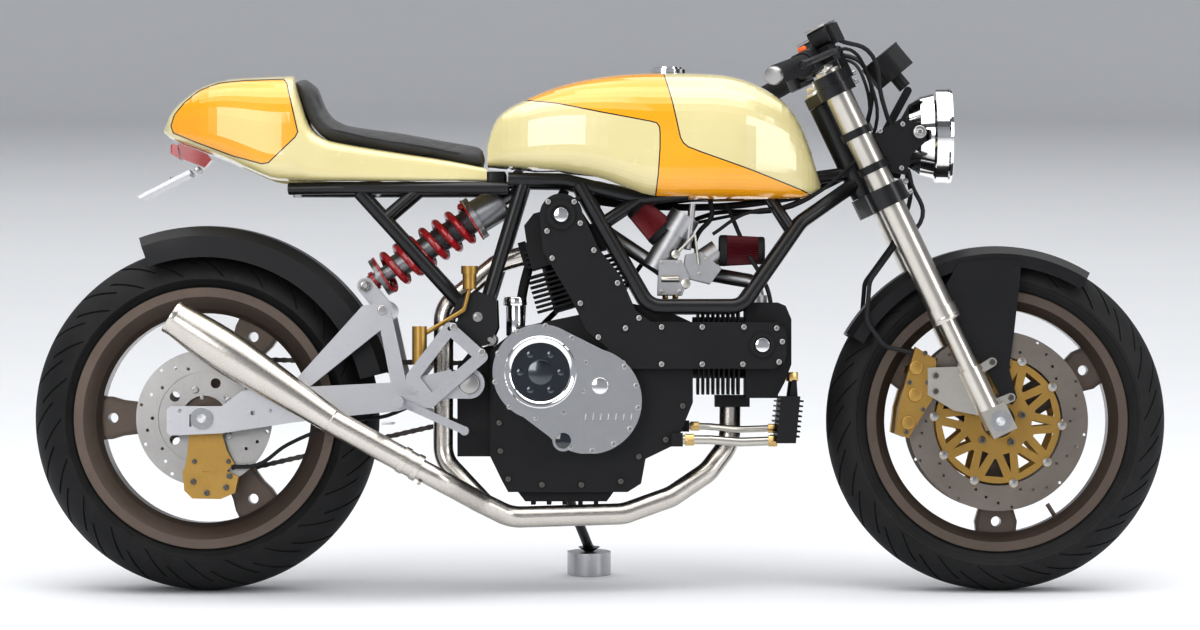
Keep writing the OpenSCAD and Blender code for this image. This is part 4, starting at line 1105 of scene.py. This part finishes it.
@dataclass
class Fasteners:
    """Bolt heads over the covers and brackets: (ahead, height) rows at one offset, in mm."""

    stance: Stance

    def row(self, shape: Shape, points: Sequence[Tuple[float, float]], offset: float,
            radius: float = 5.0, height: float = 4.5) -> None:
        """Adds sideways bolts at points of the side view."""
        for x, z in points:
            out = self.stance.left * (1 if offset > 0 else -1)
            shape.bolt(self.stance.at(x, offset, z), out, radius * MM, height * MM)

    @staticmethod
    def circle(x: float, z: float, radius: float, first: float, last: float,
               count: int) -> List[Tuple[float, float]]:
        """Points of an arc in the side view, angles in degrees."""
        turns = [math.radians(first + (last - first) * i / (count - 1)) for i in range(count)]
        return [(x + radius * math.cos(a), z + radius * math.sin(a)) for a in turns]

    def build(self) -> None:
        """Builds every group of fasteners."""
        s = self.stance
        engine = Shape()
        belt = [(609, 640), (618, 592), (668, 512), (700, 452), (668, 654), (692, 606), (734, 548),
                (772, 486), (748, 468), (812, 470), (884, 470), (958, 470), (1016, 468),
                (1026, 444), (1020, 408), (956, 404), (884, 404), (812, 404), (744, 406),
                (611, 692), (657, 692)]
        self.row(engine, belt, -104.2)
        self.row(engine, self.circle(598, 390, 82, 12, 336, 10), -131, 4.3, 3.5)
        self.row(engine, self.circle(683, 339, 88, -112, 44, 7), -126.2, 5, 4.5)
        self.row(engine, self.circle(640, 372, 80, 62, 172, 5), 116.2)
        self.row(engine, self.circle(690, 330, 78, -118, 52, 7), 116.2)
        self.row(engine, [(560, 318), (590, 306), (556, 412), (512, 414)], 112.2)
        engine.piece("cover_bolts", Body.FRAME, STEEL)
        case = Shape()
        for y in (-78.2, 78.2):
            self.row(case, [(540, 200), (600, 190), (670, 190), (740, 196), (772, 240), (820, 270),
                            (850, 330), (526, 250), (524, 300)], y, 5, 5)
        case.piece("case_bolts", Body.FRAME, DARK_STEEL)
        chassis = Shape()
        for side in (-1, 1):
            out = s.left * side
            self.row(chassis, [(444, 470), (494, 425)], side * 150, 7, 6)
            self.row(chassis, [(350, 338)], side * 160, 7, 6)
            chassis.nut(s.at(508, side * 90.9, 448), out, 0.009, 0.008)
            chassis.nut(s.at(486, side * 99.2, 488), out, 0.007, 0.006)
            chassis.rod(s.at(472, side * 134, 370), s.at(472, side * 141, 370), 0.019, 0.0175, 32, 0.0012)
            self.row(chassis, [(318, 500)], side * 133.2, 9, 5)
            self.row(chassis, [(0, 345), (38, 344), (120, 322), (-40, 322)], side * 134.2, 3.6, 3)
        chassis.nut(s.at(283.5, -23, 544.5), -s.left, 0.010, 0.008)
        chassis.nut(s.at(283.5, 23, 544.5), s.left, 0.010, 0.008)
        chassis.piece("chassis_bolts", Body.FRAME, STEEL)


@dataclass
class Engine:
    """Caps, plug leads, filler, hoses and linkage of the engine; places in mm."""

    stance: Stance

    def build(self) -> None:
        """Builds the engine's small parts."""
        self.fittings()
        self.filters()
        self.leads()
        self.window()

    def window(self) -> None:
        """Bright bezel and hub under the clutch glass."""
        s, shape = self.stance, Shape()
        place = s.turn(s.at(598, 0, 390))
        shape.spin([(0.0515, -0.1362), (0.0625, -0.1362), (0.0640, -0.1375), (0.0640, -0.1415),
                    (0.0620, -0.1432), (0.0560, -0.1432), (0.0522, -0.1405)], place, 96)
        shape.piece("clutch_bezel", Body.FRAME, CHROME)
        hub = Shape()
        hub.spin([(0.0, -0.1368), (0.020, -0.1368), (0.022, -0.1376), (0.020, -0.1384), (0.0, -0.1384)],
                 place, 48, closed=False)
        for x, z in Fasteners.circle(598, 390, 36, 0, 300, 6):
            hub.rod(s.at(x, -136.2, z), s.at(x, -137.6, z), 0.0062, sides=24, bevel=0.0003)
        hub.piece("clutch_hub", Body.FRAME, Finish("smoked_steel", (0.07, 0.08, 0.09), 0.2, 1.0, coat=1.0))
        glass = Shape()
        glass.rod(s.at(638, -129, 269), s.at(638, -131.5, 269), 0.0138, sides=32, bevel=0.0006)
        glass.piece("oil_sight_glass", Body.FRAME, SMOKED)

    def fittings(self) -> None:
        """Oil filler, cover ribs, caps on the covers, brass unions and linkage."""
        s = self.stance
        bright = Shape()
        bright.rod(s.at(552, -56, 455), s.at(552, -56, 508), 0.016, sides=32, bevel=0.001)
        bright.rod(s.at(552, -56, 508), s.at(552, -56, 524), 0.021, 0.020, 24, 0.0025)
        bright.rod(s.at(703, -133, 366), s.at(703, -136, 366), 0.0150, 0.0140, 32, 0.0006)
        for x, z in ((634, 669), (991, 438)):
            bright.rod(s.at(x, -104, z), s.at(x, -107, z), 0.0135, 0.0125, 32, 0.0006)
        for i in range(7):
            x = 676 + 13.5 * i
            bright.rod(s.at(x, -130.9, 306), s.at(x + 1.5, -130.9, 317), 0.0016, sides=8)
        bright.piece("engine_caps", Body.FRAME, POLISHED)
        brass = Shape()
        for x, y, z, r in ((1047, -80, 378, 0.009), (1047, 80, 378, 0.009), (1006, -76, 268, 0.011),
                           (1006, -52, 290, 0.009), (858, -77, 270, 0.0115), (868, -40, 294, 0.009)):
            direction = s.up if z == 378 else s.ahead
            brass.rod(s.at(x, y, z) - direction * 0.004, s.at(x, y, z) + direction * 0.012, r, r, 6, 0.0008)
        for side in (-1, 1):
            for x, z in ((820, 528), (838, 528)):
                brass.rod(s.at(x, side * 36, z - 6), s.at(x, side * 36, z + 2), 0.0055, sides=6, bevel=0.0005)
        brass.piece("brass_unions", Body.FRAME, BRASS)
        links = Shape()
        for side in (-1, 1):
            y = side * 66
            links.rod(s.at(838, side * 60, 600), s.at(838, side * 70, 600), 0.008, sides=20, bevel=0.001)
            links.rod(s.at(838, y, 600), s.at(872, y, 636), 0.0028, sides=10)
            links.rod(s.at(872, y, 636), s.at(878, y, 582), 0.0022, sides=10)
            links.rod(s.at(812, y - side, 556), s.at(844, y - side, 556), 0.006, sides=16,
                      bevel=0.001)
            for x, z in ((812, 586), (842, 586), (812, 534), (844, 534), (880, 566), (892, 592)):
                links.bolt(s.at(x, side * (64.2 if x < 860 else 58.2), z), s.left * side, 0.0032, 0.003)
            links.rod(s.at(856, y, 548), s.at(856, side * 58, 548), 0.009, 0.007, 20, 0.001)
        links.piece("carburettor_linkage", Body.FRAME, ZINC)

    def filters(self) -> None:
        """Pleated air filters with rubber ends in place of the plain cones."""
        s = self.stance
        for side in (-1, 1):
            y = side * 32
            cones = (((818, y, 636), (766, side * 31, 688), 27, 22, RED_GAUZE, "upper"),
                     ((915, side * 34, 608), (998, side * 34, 608), 27, 24, WINE_GAUZE, "front"))
            for start, end, r0, r1, finish, label in cones:
                a, b = s.at(*start), s.at(*end)
                shape = Shape()
                count = 40
                verts = shape.rod(a + (b - a) * 0.16, a + (b - a) * 0.86, r0 * MM, r1 * MM, count * 2)
                for i, vert in enumerate(sorted(set(verts), key=lambda v: round(self.angle(v.co, a, b), 4))):
                    if (i // 2) % 2:
                        axis = (b - a).normalized()
                        foot = a + axis * (vert.co - a).dot(axis)
                        vert.co = foot + (vert.co - foot) * 0.88
                word = "right" if side < 0 else "left"
                made = shape.piece(f"filter_{label}_{word}", Body.FRAME, finish, 20)
                if side < 0 and label == "upper":
                    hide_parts("air_filters")
                ends = Shape()
                ends.rod(a + (b - a) * 0.02, a + (b - a) * 0.18, r0 * MM, (r0 + 0.5) * MM, 40, 0.0018)
                ends.rod(a + (b - a) * 0.84, a + (b - a) * 0.99, (r1 + 0.5) * MM, (r1 - 0.5) * MM, 40, 0.003)
                ends.piece(f"filter_ends_{label}_{word}", Body.FRAME, SOFT_RUBBER)

    @staticmethod
    def angle(point: Vector, a: Vector, b: Vector) -> float:
        """Angle of a point about the line from a to b."""
        axis = (b - a).normalized()
        side = axis.orthogonal().normalized()
        away = point - a
        return math.atan2(away.dot(axis.cross(side)), away.dot(side))

    def leads(self) -> None:
        """Plug leads, fuel hose, breather and the wiring along the frame."""
        s = self.stance
        routes: Tuple[Tuple[str, float, Tuple[Row, ...]], ...] = (
            ("plug_lead_rear", 4.0, (
                (646, -84, 640), (640, -96, 676), (676, -92, 704), (740, -60, 716))),
            ("plug_lead_front", 4.0, (
                (1010, -60, 494), (1000, -72, 540), (968, -50, 600), (930, -12, 690))),
            ("fuel_hose", 4.5, (
                (900, -20, 700), (902, -26, 668), (880, -20, 640), (868, -22, 612))),
            ("breather_hose", 9.0, (
                (560, -20, 468), (566, -26, 540), (600, -10, 640), (640, 0, 716))),
            ("frame_loom", 6.5, (
                (660, 74, 706), (730, 66, 694), (830, 58, 688), (940, 44, 690), (1060, 30, 706))),
            ("starter_cable", 5.0, (
                (600, 60, 476), (640, 84, 520), (690, 84, 620), (700, 76, 700))),
            ("rear_brake_hose", 3.5, (
                (50, -98, 222), (96, -104, 226), (150, -100, 262), (250, -100, 300),
                (340, -98, 318), (384, -118, 350), (384, -126, 392))),
        )
        for name, radius, points in routes:
            tube(name, Body.FRAME, SOFT_RUBBER, [s.at(*p) for p in points], radius * MM)
        caps = Shape()
        for start, end in (((646, -78, 634), (646, -90, 652)), ((1010, -56, 484), (1010, -64, 506))):
            caps.rod(s.at(*start), s.at(*end), 0.0085, 0.0065, 20, 0.001)
        caps.piece("plug_caps", Body.FRAME, SOFT_RUBBER)


# ---------- rear end, exhaust, steering ----------


@dataclass
class RearEnd:
    """Shock collars, caliper bolts, exhaust clamps and tail lamp; places in mm."""

    stance: Stance

    def build(self) -> None:
        """Builds the rear end's small parts."""
        self.shock()
        self.exhaust()
        self.tail()
        self.brake()

    def shock(self) -> None:
        """Threaded collars and red adjusters."""
        s = self.stance
        low, high = s.at(283.5, 0, 544.5), s.at(557, 0, 714)
        along = (high - low).normalized()
        place = facing(low, along)
        body = Shape()
        threads = [(0.0222, 0.150)]
        for i in range(24):
            z = 0.151 + 0.003 * i
            threads += [(0.0236, z), (0.0222, z + 0.0015)]
        threads += [(0.0222, 0.2245), (0.0205, 0.2245), (0.0205, 0.150)]
        body.spin(threads, place, 48)
        body.piece("shock_thread", Body.FRAME, SHOCK_GREY, 30)
        red = Shape()
        for a, b, r in ((0.222, 0.2255, 0.0412), (0.0338, 0.0385, 0.037), (0.014, 0.022, 0.0175)):
            bore = 0.0225 if a > 0.02 else 0.0142
            red.spin([(bore, a), (r, a), (r, b), (bore, b)], place, 40)
        red.piece("spring_seats", Body.FRAME, SPRING_RED)

    def exhaust(self) -> None:
        """Clamps, the rolled outlet and the inner tube of the silencer."""
        s, bright = self.stance, Shape()
        back, front = s.at(-49.5, -178, 488), s.at(238, -178, 301)
        place = facing(back, (back - front).normalized())
        bright.spin([(0.0285, -0.006), (0.0312, -0.008), (0.0322, -0.003), (0.0316, 0.0012), (0.0300, 0.0018),
                     (0.0285, 0.0)], place, 72)
        joint = s.at(385, -178, 220.5)
        along = (joint - front).normalized()
        for start in (-0.004, -0.030):
            ring = facing(joint + along * start, along)
            bright.spin([(0.0226, -0.006), (0.0246, -0.0055), (0.0246, 0.0055), (0.0226, 0.006)], ring, 48)
        bright.bolt(joint - s.up * 0.0255 - s.left * 0.004, -s.left, 0.004, 0.008)
        bright.piece("silencer_trim", Body.FRAME, STAINLESS)
        core = Shape()
        core.spin([(0.0255, -0.055), (0.0255, -0.009), (0.0262, -0.006), (0.0245, -0.006), (0.0245, -0.055)],
                  place, 48)
        core.rod(back - (back - front).normalized() * 0.058, back - (back - front).normalized() * 0.053,
                 0.0262, sides=48)
        core.piece("silencer_core", Body.FRAME, DARK_STEEL)
        bracket = Shape()
        turn = Matrix((s.ahead, s.left, s.up)).transposed()
        bracket.block(s.at(330, -152, 300), (0.022, 0.050, 0.004), turn, 0.0012)
        bracket.piece("silencer_bracket", Body.FRAME, MACHINED)
        hinge = Shape()
        hinge.block(s.at(518, 0, 732), (0.034, 0.150, 0.030), turn, 0.003)
        hinge.piece("seat_hinge", Body.FRAME, SATIN_BLACK)

    def tail(self) -> None:
        """Tail lamp ribs, plate screws and plate lamp."""
        s, shape = self.stance, Shape()
        for i in range(5):
            shape.rod(s.at(-62.3, -26 + 13 * i, 780), s.at(-62.3, -26 + 13 * i, 797), 0.0022, sides=12)
        shape.piece("lamp_ribs", Body.FRAME, RED_LENS)
        trim = Shape()
        for side in (-1, 1):
            trim.bolt(s.at(-60, side * 48, 734), s.up, 0.0045, 0.004)
            trim.rod(s.at(-16, side * 24, 752), s.at(-16, side * 38, 752), 0.006, 0.005, 20, 0.001)
        trim.piece("plate_screws", Body.FRAME, STEEL)

    def brake(self) -> None:
        """Caliper bolts of the rear brake."""
        s, shape = self.stance, Shape()
        for x, z in ((-18, 196), (6, 176), (40, 186), (46, 206)):
            shape.bolt(s.at(x, -97.2, z), -s.left, 0.0055, 0.005)
        for x, z in ((-16, 232), (44, 232), (30, 290)):
            shape.bolt(s.at(x, -97.2, z), -s.left, 0.0045, 0.004)
        shape.piece("rear_caliper_bolts", Body.FRAME, DARK_STEEL)


@dataclass
class Cockpit:
    """Clamps, bars, gauge, lamps and cables on the steering; places in the steering frame, mm."""

    stance: Stance
    reach: Tuple[float, float] = (60.0, 87.0)
    end: Tuple[float, float] = (-74.0, 345.0)
    bar_z: float = 270.0

    def bar(self, t: float, side: int, ahead: float = 0.0, rise: float = 0.0) -> Vector:
        """A point along one handlebar."""
        x = self.reach[0] + (self.end[0] - self.reach[0]) * t + ahead
        y = self.reach[1] + (self.end[1] - self.reach[1]) * t
        return self.stance.steer(x, side * y, self.bar_z + rise)

    def build(self) -> None:
        """Builds the cockpit's parts."""
        self.clamps()
        self.bars()
        self.gauge()
        self.lamp()
        self.calipers()
        self.cables()

    def clamps(self) -> None:
        """Fork caps, clamp bolts and the stem nut."""
        s, caps, bolts = self.stance, Shape(), Shape()
        for side in (-1, 1):
            top = s.steer(28, side * 101, 240)
            caps.rod(top, top + s.rise * 0.007, 0.0225, 0.0215, 40, 0.0012)
            caps.rod(top + s.rise * 0.007, top + s.rise * 0.016, 0.0105, 0.0100, 6, 0.0008)
            for z in (-10, 10):
                bolts.bolt(s.steer(68, side * 84, z), s.across, 0.0050, 0.006)
            bolts.bolt(s.steer(66, side * 84, 209), s.across, 0.0045, 0.005)
            bolts.bolt(s.steer(68, side * 80, 224), s.across, 0.0045, 0.006)
            ring = facing(s.steer(28, side * 101, -232), s.rise)
            caps.spin([(0.0172, -0.0135), (0.0262, -0.0135), (0.0272, -0.0105), (0.0262, -0.0095),
                       (0.0262, -0.0075), (0.0272, -0.0065), (0.0268, -0.0040), (0.0172, -0.0040)], ring, 56)
        caps.rod(s.steer(0, 0, 219), s.steer(0, 0, 226), 0.022, 0.021, 36, 0.001)
        caps.rod(s.steer(0, 0, 226), s.steer(0, 0, 238), 0.0165, 0.016, 6, 0.001)
        caps.piece("fork_caps", Body.STEERING, FORK_ALLOY)
        bolts.piece("clamp_bolts", Body.STEERING, STEEL)

    def bars(self) -> None:
        """Grip ribs, bar ends, levers, master cylinders and switches."""
        s = self.stance
        rubber, black, bright = Shape(), Shape(), Shape()
        for side in (-1, 1):
            a, b = self.bar(0.54, side), self.bar(1.0, side)
            along = (b - a).normalized()
            ribs = [(0.0166, 0.004)]
            n = 22
            for i in range(n):
                z = 0.006 + ((b - a).length - 0.014) * i / n
                ribs += [(0.0178, z + 0.0006), (0.0178, z + 0.0036), (0.0166, z + 0.0042)]
            ribs += [(0.0166, (b - a).length - 0.004), (0.0160, (b - a).length - 0.004), (0.0160, 0.004)]
            rubber.spin(ribs, facing(a, along), 36)
            rubber.spin([(0.0112, 0.0), (0.0205, 0.0), (0.0212, 0.0015), (0.0205, 0.0035), (0.0112, 0.0035)],
                        facing(a, along), 36)
            bright.rod(b, b + along * 0.010, 0.0172, 0.0150, 32, 0.0016)
            lever = [self.bar(t, side, ahead, rise) for t, ahead, rise in
                     ((0.34, 34, 0), (0.50, 50, -1), (0.72, 54, -3), (0.90, 56, -4), (0.99, 52, -4))]
            name = "front_brake_lever" if side < 0 else "clutch_lever"
            tube(name, Body.STEERING, SATIN_BLACK, lever, 0.0062)
            black.rod(self.bar(0.985, side, 52, -4), self.bar(1.01, side, 52, -4), 0.0085, 0.0080, 20, 0.003)
            turn = Matrix((along, s.rise.cross(along), s.rise)).transposed()
            black.block(self.bar(0.47, side, -2, 0), (0.036, 0.040, 0.044), turn, 0.005)
            black.block(self.bar(0.28, side, 22, 32), (0.050, 0.040, 0.030), turn, 0.004)
            bright.block(self.bar(0.28, side, 22, 49), (0.052, 0.042, 0.005), turn, 0.0016)
            for dx in (-0.019, 0.019):
                bright.bolt(self.bar(0.28, side, 22, 51) + along * dx, s.rise, 0.003, 0.002)
        rubber.piece("grip_ribs", Body.STEERING, SOFT_RUBBER)
        black.piece("switch_housings", Body.STEERING, SATIN_BLACK)
        bright.piece("bar_trim", Body.STEERING, STEEL)
        knob = Shape()
        knob.rod(self.bar(0.47, -1, 0, 22), self.bar(0.47, -1, 0, 30), 0.0085, 0.0075, 24, 0.0015)
        knob.piece("stop_switch", Body.STEERING, ORANGE)

    def gauge(self) -> None:
        """Bezel, dial, marks and needle of the gauge."""
        s = self.stance
        centre = s.at(1205, 0, 954)
        tilt = math.radians(-40)
        face = s.ahead * math.sin(tilt) + s.up * math.cos(tilt)
        side = s.left.cross(face)
        ring = Shape()
        ring.spin([(0.0345, 0.0002), (0.0402, 0.0002), (0.0412, 0.0016), (0.0402, 0.0036), (0.0350, 0.0030)],
                  facing(centre, face), 64)
        ring.piece("gauge_bezel", Body.STEERING, SATIN_BLACK)
        dial = Shape()
        dial.rod(centre, centre + face * 0.0008, 0.0346, sides=48)
        dial.piece("gauge_dial", Body.STEERING, Finish("dial_white", (0.72, 0.72, 0.70), 0.4))
        marks = Shape()
        for i in range(21):
            a = math.radians(-120 + 12 * i)
            away = side * math.cos(a) + s.left * math.sin(a)
            inner = 0.026 if i % 5 == 0 else 0.029
            marks.rod(centre + away * inner + face * 0.001, centre + away * 0.033 + face * 0.001,
                      0.0007 if i % 5 == 0 else 0.0004, sides=6)
        marks.rod(centre + face * 0.0008, centre + face * 0.003, 0.004, sides=24)
        marks.piece("gauge_marks", Body.STEERING, SATIN_BLACK)
        needle = Shape()
        needle.rod(centre + face * 0.002, centre + face * 0.002 - side * 0.024, 0.0010, 0.0004, 8)
        needle.piece("gauge_needle", Body.STEERING, ORANGE)

    def lamp(self) -> None:
        """Reflector, bulb, rim and side bolts of the headlight."""
        s = self.stance
        centre = s.at(1299, 0, 814)
        place = facing(centre, s.ahead)
        bowl = Shape()
        bowl.spin([(0.012, -0.030), (0.040, -0.016), (0.060, 0.004), (0.0728, 0.0285), (0.0718, 0.0290),
                   (0.059, 0.006), (0.039, -0.0140), (0.012, -0.0275)], place, 64)
        bowl.piece("lamp_reflector", Body.STEERING, CHROME)
        bulb = Shape()
        bulb.rod(centre - s.ahead * 0.030, centre + s.ahead * 0.012, 0.007, 0.006, 20, 0.002)
        bulb.piece("lamp_bulb", Body.STEERING, Finish("bulb_white", (0.8, 0.8, 0.75), 0.2))
        rim = Shape()
        rim.spin([(0.0742, 0.0245), (0.0842, 0.0255), (0.0858, 0.0285), (0.0838, 0.0330), (0.0790, 0.0345),
                  (0.0745, 0.0320)], place, 96)
        rim.piece("lamp_rim", Body.STEERING, CHROME)
        side = Shape()
        for hand in (-1, 1):
            side.rod(s.at(1270, hand * 97, 816), s.at(1270, hand * 104, 816), 0.0125, 0.0115, 32, 0.0012)
            side.bolt(s.at(1270, hand * 104, 816), s.left * hand, 0.006, 0.005)
            for x, z in ((1200, 818), (1240, 830), (1238, 752)):
                side.bolt(s.at(x, hand * 97.2, z), s.left * hand, 0.0045, 0.004)
        side.piece("lamp_bolts", Body.STEERING, STEEL)

    def calipers(self) -> None:
        """Piston pots and bolts of the front calipers, and bolts on the fender."""
        s, gold, steel = self.stance, Shape(), Shape()
        for side in (-1, 1):
            out = s.left * side
            for x, z in ((1264, 398), (1262, 350), (1250, 300)):
                gold.rod(s.at(x, side * 92, z), s.at(x, side * 95.5, z), 0.0130, 0.0120, 32, 0.0010)
            for x, z in ((1280, 424), (1246, 284), (1284, 372), (1252, 372), (1276, 324)):
                steel.bolt(s.at(x, side * 92.2, z), out, 0.0045, 0.004)
            for x, z in ((1298, 384), (1298, 356)):
                steel.bolt(s.at(x, side * 100.2, z), out, 0.006, 0.005)
            for x, z in ((1399, 408), (1432, 345)):
                steel.bolt(s.at(x, side * 93.2, z), out, 0.006, 0.005)
        gold.piece("caliper_pots", Body.STEERING, GOLD)
        steel.piece("caliper_bolts", Body.STEERING, DARK_STEEL)

    def cables(self) -> None:
        """Brake hoses on the fork, and cables that cross the steering head."""
        s = self.stance
        p, q = s.steer, s.at
        start, stop = q(1090, 0, 720), q(1175, 0, 760)
        pair = (Body.FRAME, Body.STEERING)
        runs = (
            ("throttle_cable", 0.0032, [
                q(904, -44, 636), q(960, -46, 672), q(1050, -44, 690), q(1130, -40, 740),
                p(66, -44, 120), p(92, -60, 210), p(80, -112, 262), self.bar(0.40, -1, 14, -6)]),
            ("choke_cable", 0.0030, [
                q(880, 44, 660), q(960, 40, 676), q(1050, 42, 694), q(1120, 44, 740),
                p(60, 50, 130), p(92, 62, 214), p(80, 116, 258), self.bar(0.42, 1, 14, -8)]),
            ("clutch_hose", 0.0042, [
                q(700, 104, 420), q(760, 88, 560), q(880, 74, 668), q(1050, 56, 690),
                q(1130, 50, 748), p(74, 46, 150), p(104, 74, 226), self.bar(0.26, 1, 42, 14)]),
            ("lamp_loom", 0.0060, [
                q(1060, 14, 702), q(1120, 16, 730), q(1180, 18, 762), q(1230, 16, 786),
                q(1262, 12, 800)]),
        )
        for name, radius, points in runs:
            tube(name, pair, SOFT_RUBBER, points, radius)
        tube("front_brake_hose", Body.STEERING, SOFT_RUBBER, [
            self.bar(0.28, -1, 44, 14), p(112, -96, 236), p(96, -74, 160), p(84, -66, 60),
            p(78, -72, 0), p(70, -80, -60), q(1230, -84, 618)], 0.0040)
        tube("brake_hose_bridge", Body.STEERING, SOFT_RUBBER, [
            p(78, -72, 0), p(86, -30, 22), p(88, 0, 26), p(86, 40, 20), p(76, 78, -20),
            q(1230, 84, 618)], 0.0040)


ASSEMBLIES: Tuple[Callable[[Stance], Any], ...] = (
    Wheels, Drive, Seat, Fasteners, Engine, RearEnd, Cockpit)


# ---------- studio ----------


@dataclass
class Studio:
    """A pale seamless floor and backdrop, soft boxes and the camera."""

    distance: float = 9.0
    lens: float = 150.0
    height: float = 0.488
    elevation: float = 4.3
    floor_reach: float = 23.0
    wall_bend: float = 4.0
    wall_top: float = 13.0
    sides: int = 96

    def backdrop(self) -> None:
        """A round floor that curves up into a wall on every side."""
        bm = bmesh.new()
        reach, bend = self.floor_reach, self.wall_bend
        side = [(0.01, 0.0), (4.0, 0.0), (12.0, 0.0), (reach, 0.0)]
        side += [(reach + bend * math.sin(a), bend - bend * math.cos(a))
                 for a in (math.radians(9.0 * i) for i in range(1, 11))]
        side += [(reach + bend, self.wall_top)]
        verts = [bm.verts.new((x, 0.0, z)) for x, z in side]
        edges = [bm.edges.new(pair) for pair in zip(verts, verts[1:])]
        bmesh.ops.spin(bm, geom=verts + edges, cent=(0, 0, 0), axis=(0, 0, 1),
                       angle=FULL_TURN, steps=self.sides, use_merge=True)
        low = [e for e in bm.edges if e.is_boundary and e.verts[0].co.z < 0.1]
        bmesh.ops.contextual_create(bm, geom=low)
        for face in bm.faces:
            face.smooth = True
        bmesh.ops.recalc_face_normals(bm, faces=bm.faces[:])
        mesh = bpy.data.meshes.new("backdrop")
        bm.to_mesh(mesh)
        bm.free()
        sheet = bpy.data.objects.new("backdrop", mesh)
        bpy.context.scene.collection.objects.link(sheet)
        graph = Graph("backdrop_paper")
        tone = graph.mix(graph.noise(0.6, 2), (0.74, 0.75, 0.77), (0.78, 0.79, 0.81))
        mesh.materials.append(graph.finish(Base_Color=tone, Roughness=0.55, Specular_IOR_Level=0.25))

    def softbox(self, name: str, at: Tuple[float, float, float], aim: Tuple[float, float, float],
                size: Tuple[float, float], power: float) -> None:
        """Adds one area light.

        Args:
            name: the light's name.
            at: where it stands.
            aim: the point it faces.
            size: its width and height.
            power: watts.
        """
        data = bpy.data.lights.new(name, "AREA")
        data.shape = "RECTANGLE"
        data.size, data.size_y = size
        data.energy = power
        lamp = bpy.data.objects.new(name, data)
        bpy.context.scene.collection.objects.link(lamp)
        lamp.location = at
        lamp.rotation_euler = (Vector(aim) - Vector(at)).to_track_quat("-Z", "Y").to_euler()

    def light(self) -> None:
        """Overhead box, two fills and a wide ceiling, under a pale sky."""
        self.softbox("overhead", (0.0, -0.6, 3.6), (0, 0, 0.4), (5.0, 2.4), 110)
        self.softbox("front_fill", (-2.6, -5.6, 2.4), (0, 0, 0.5), (3.2, 2.2), 150)
        self.softbox("nose_fill", (4.2, -3.2, 2.0), (0.3, 0, 0.5), (1.6, 2.4), 80)
        self.softbox("ceiling", (0.0, 0.0, 12.8), (0, 0.001, 0), (30.0, 30.0), 6300)
        world = bpy.data.worlds.new("studio")
        world.use_nodes = True
        sky = world.node_tree.nodes["Background"]
        sky.inputs["Color"].default_value = (0.92, 0.95, 1.0, 1.0)
        sky.inputs["Strength"].default_value = 0.22
        bpy.context.scene.world = world
        bpy.context.scene.view_settings.view_transform = "Standard"
        bpy.context.scene.view_settings.look = "Medium High Contrast"
        bpy.context.scene.view_settings.exposure = -0.75

    def camera(self) -> None:
        """Level side view from the rider's right."""
        data = bpy.data.cameras.new("camera")
        data.lens = self.lens
        data.sensor_width = 36.0
        data.clip_end = 60.0
        eye = bpy.data.objects.new("camera", data)
        bpy.context.scene.collection.objects.link(eye)
        tilt = math.radians(self.elevation)
        target = Vector((0.0, 0.0, self.height))
        eye.location = target + Vector((0, -math.cos(tilt), math.sin(tilt))) * self.distance
        eye.rotation_euler = (target - eye.location).to_track_quat("-Z", "Y").to_euler()
        bpy.context.scene.camera = eye

    def build(self) -> None:
        """Sets the whole stage."""
        self.camera()
        self.backdrop()
        self.light()


def main() -> None:
    """Builds every sub-assembly in order."""
    logging.basicConfig(level=logging.INFO, format="%(message)s")
    stance = Stance()
    Studio().build()
    Paintshop.dress_cad()
    for assembly in ASSEMBLIES:
        assembly(stance).build()
    bpy.context.view_layer.update()


if __name__ == "__main__":
    main()
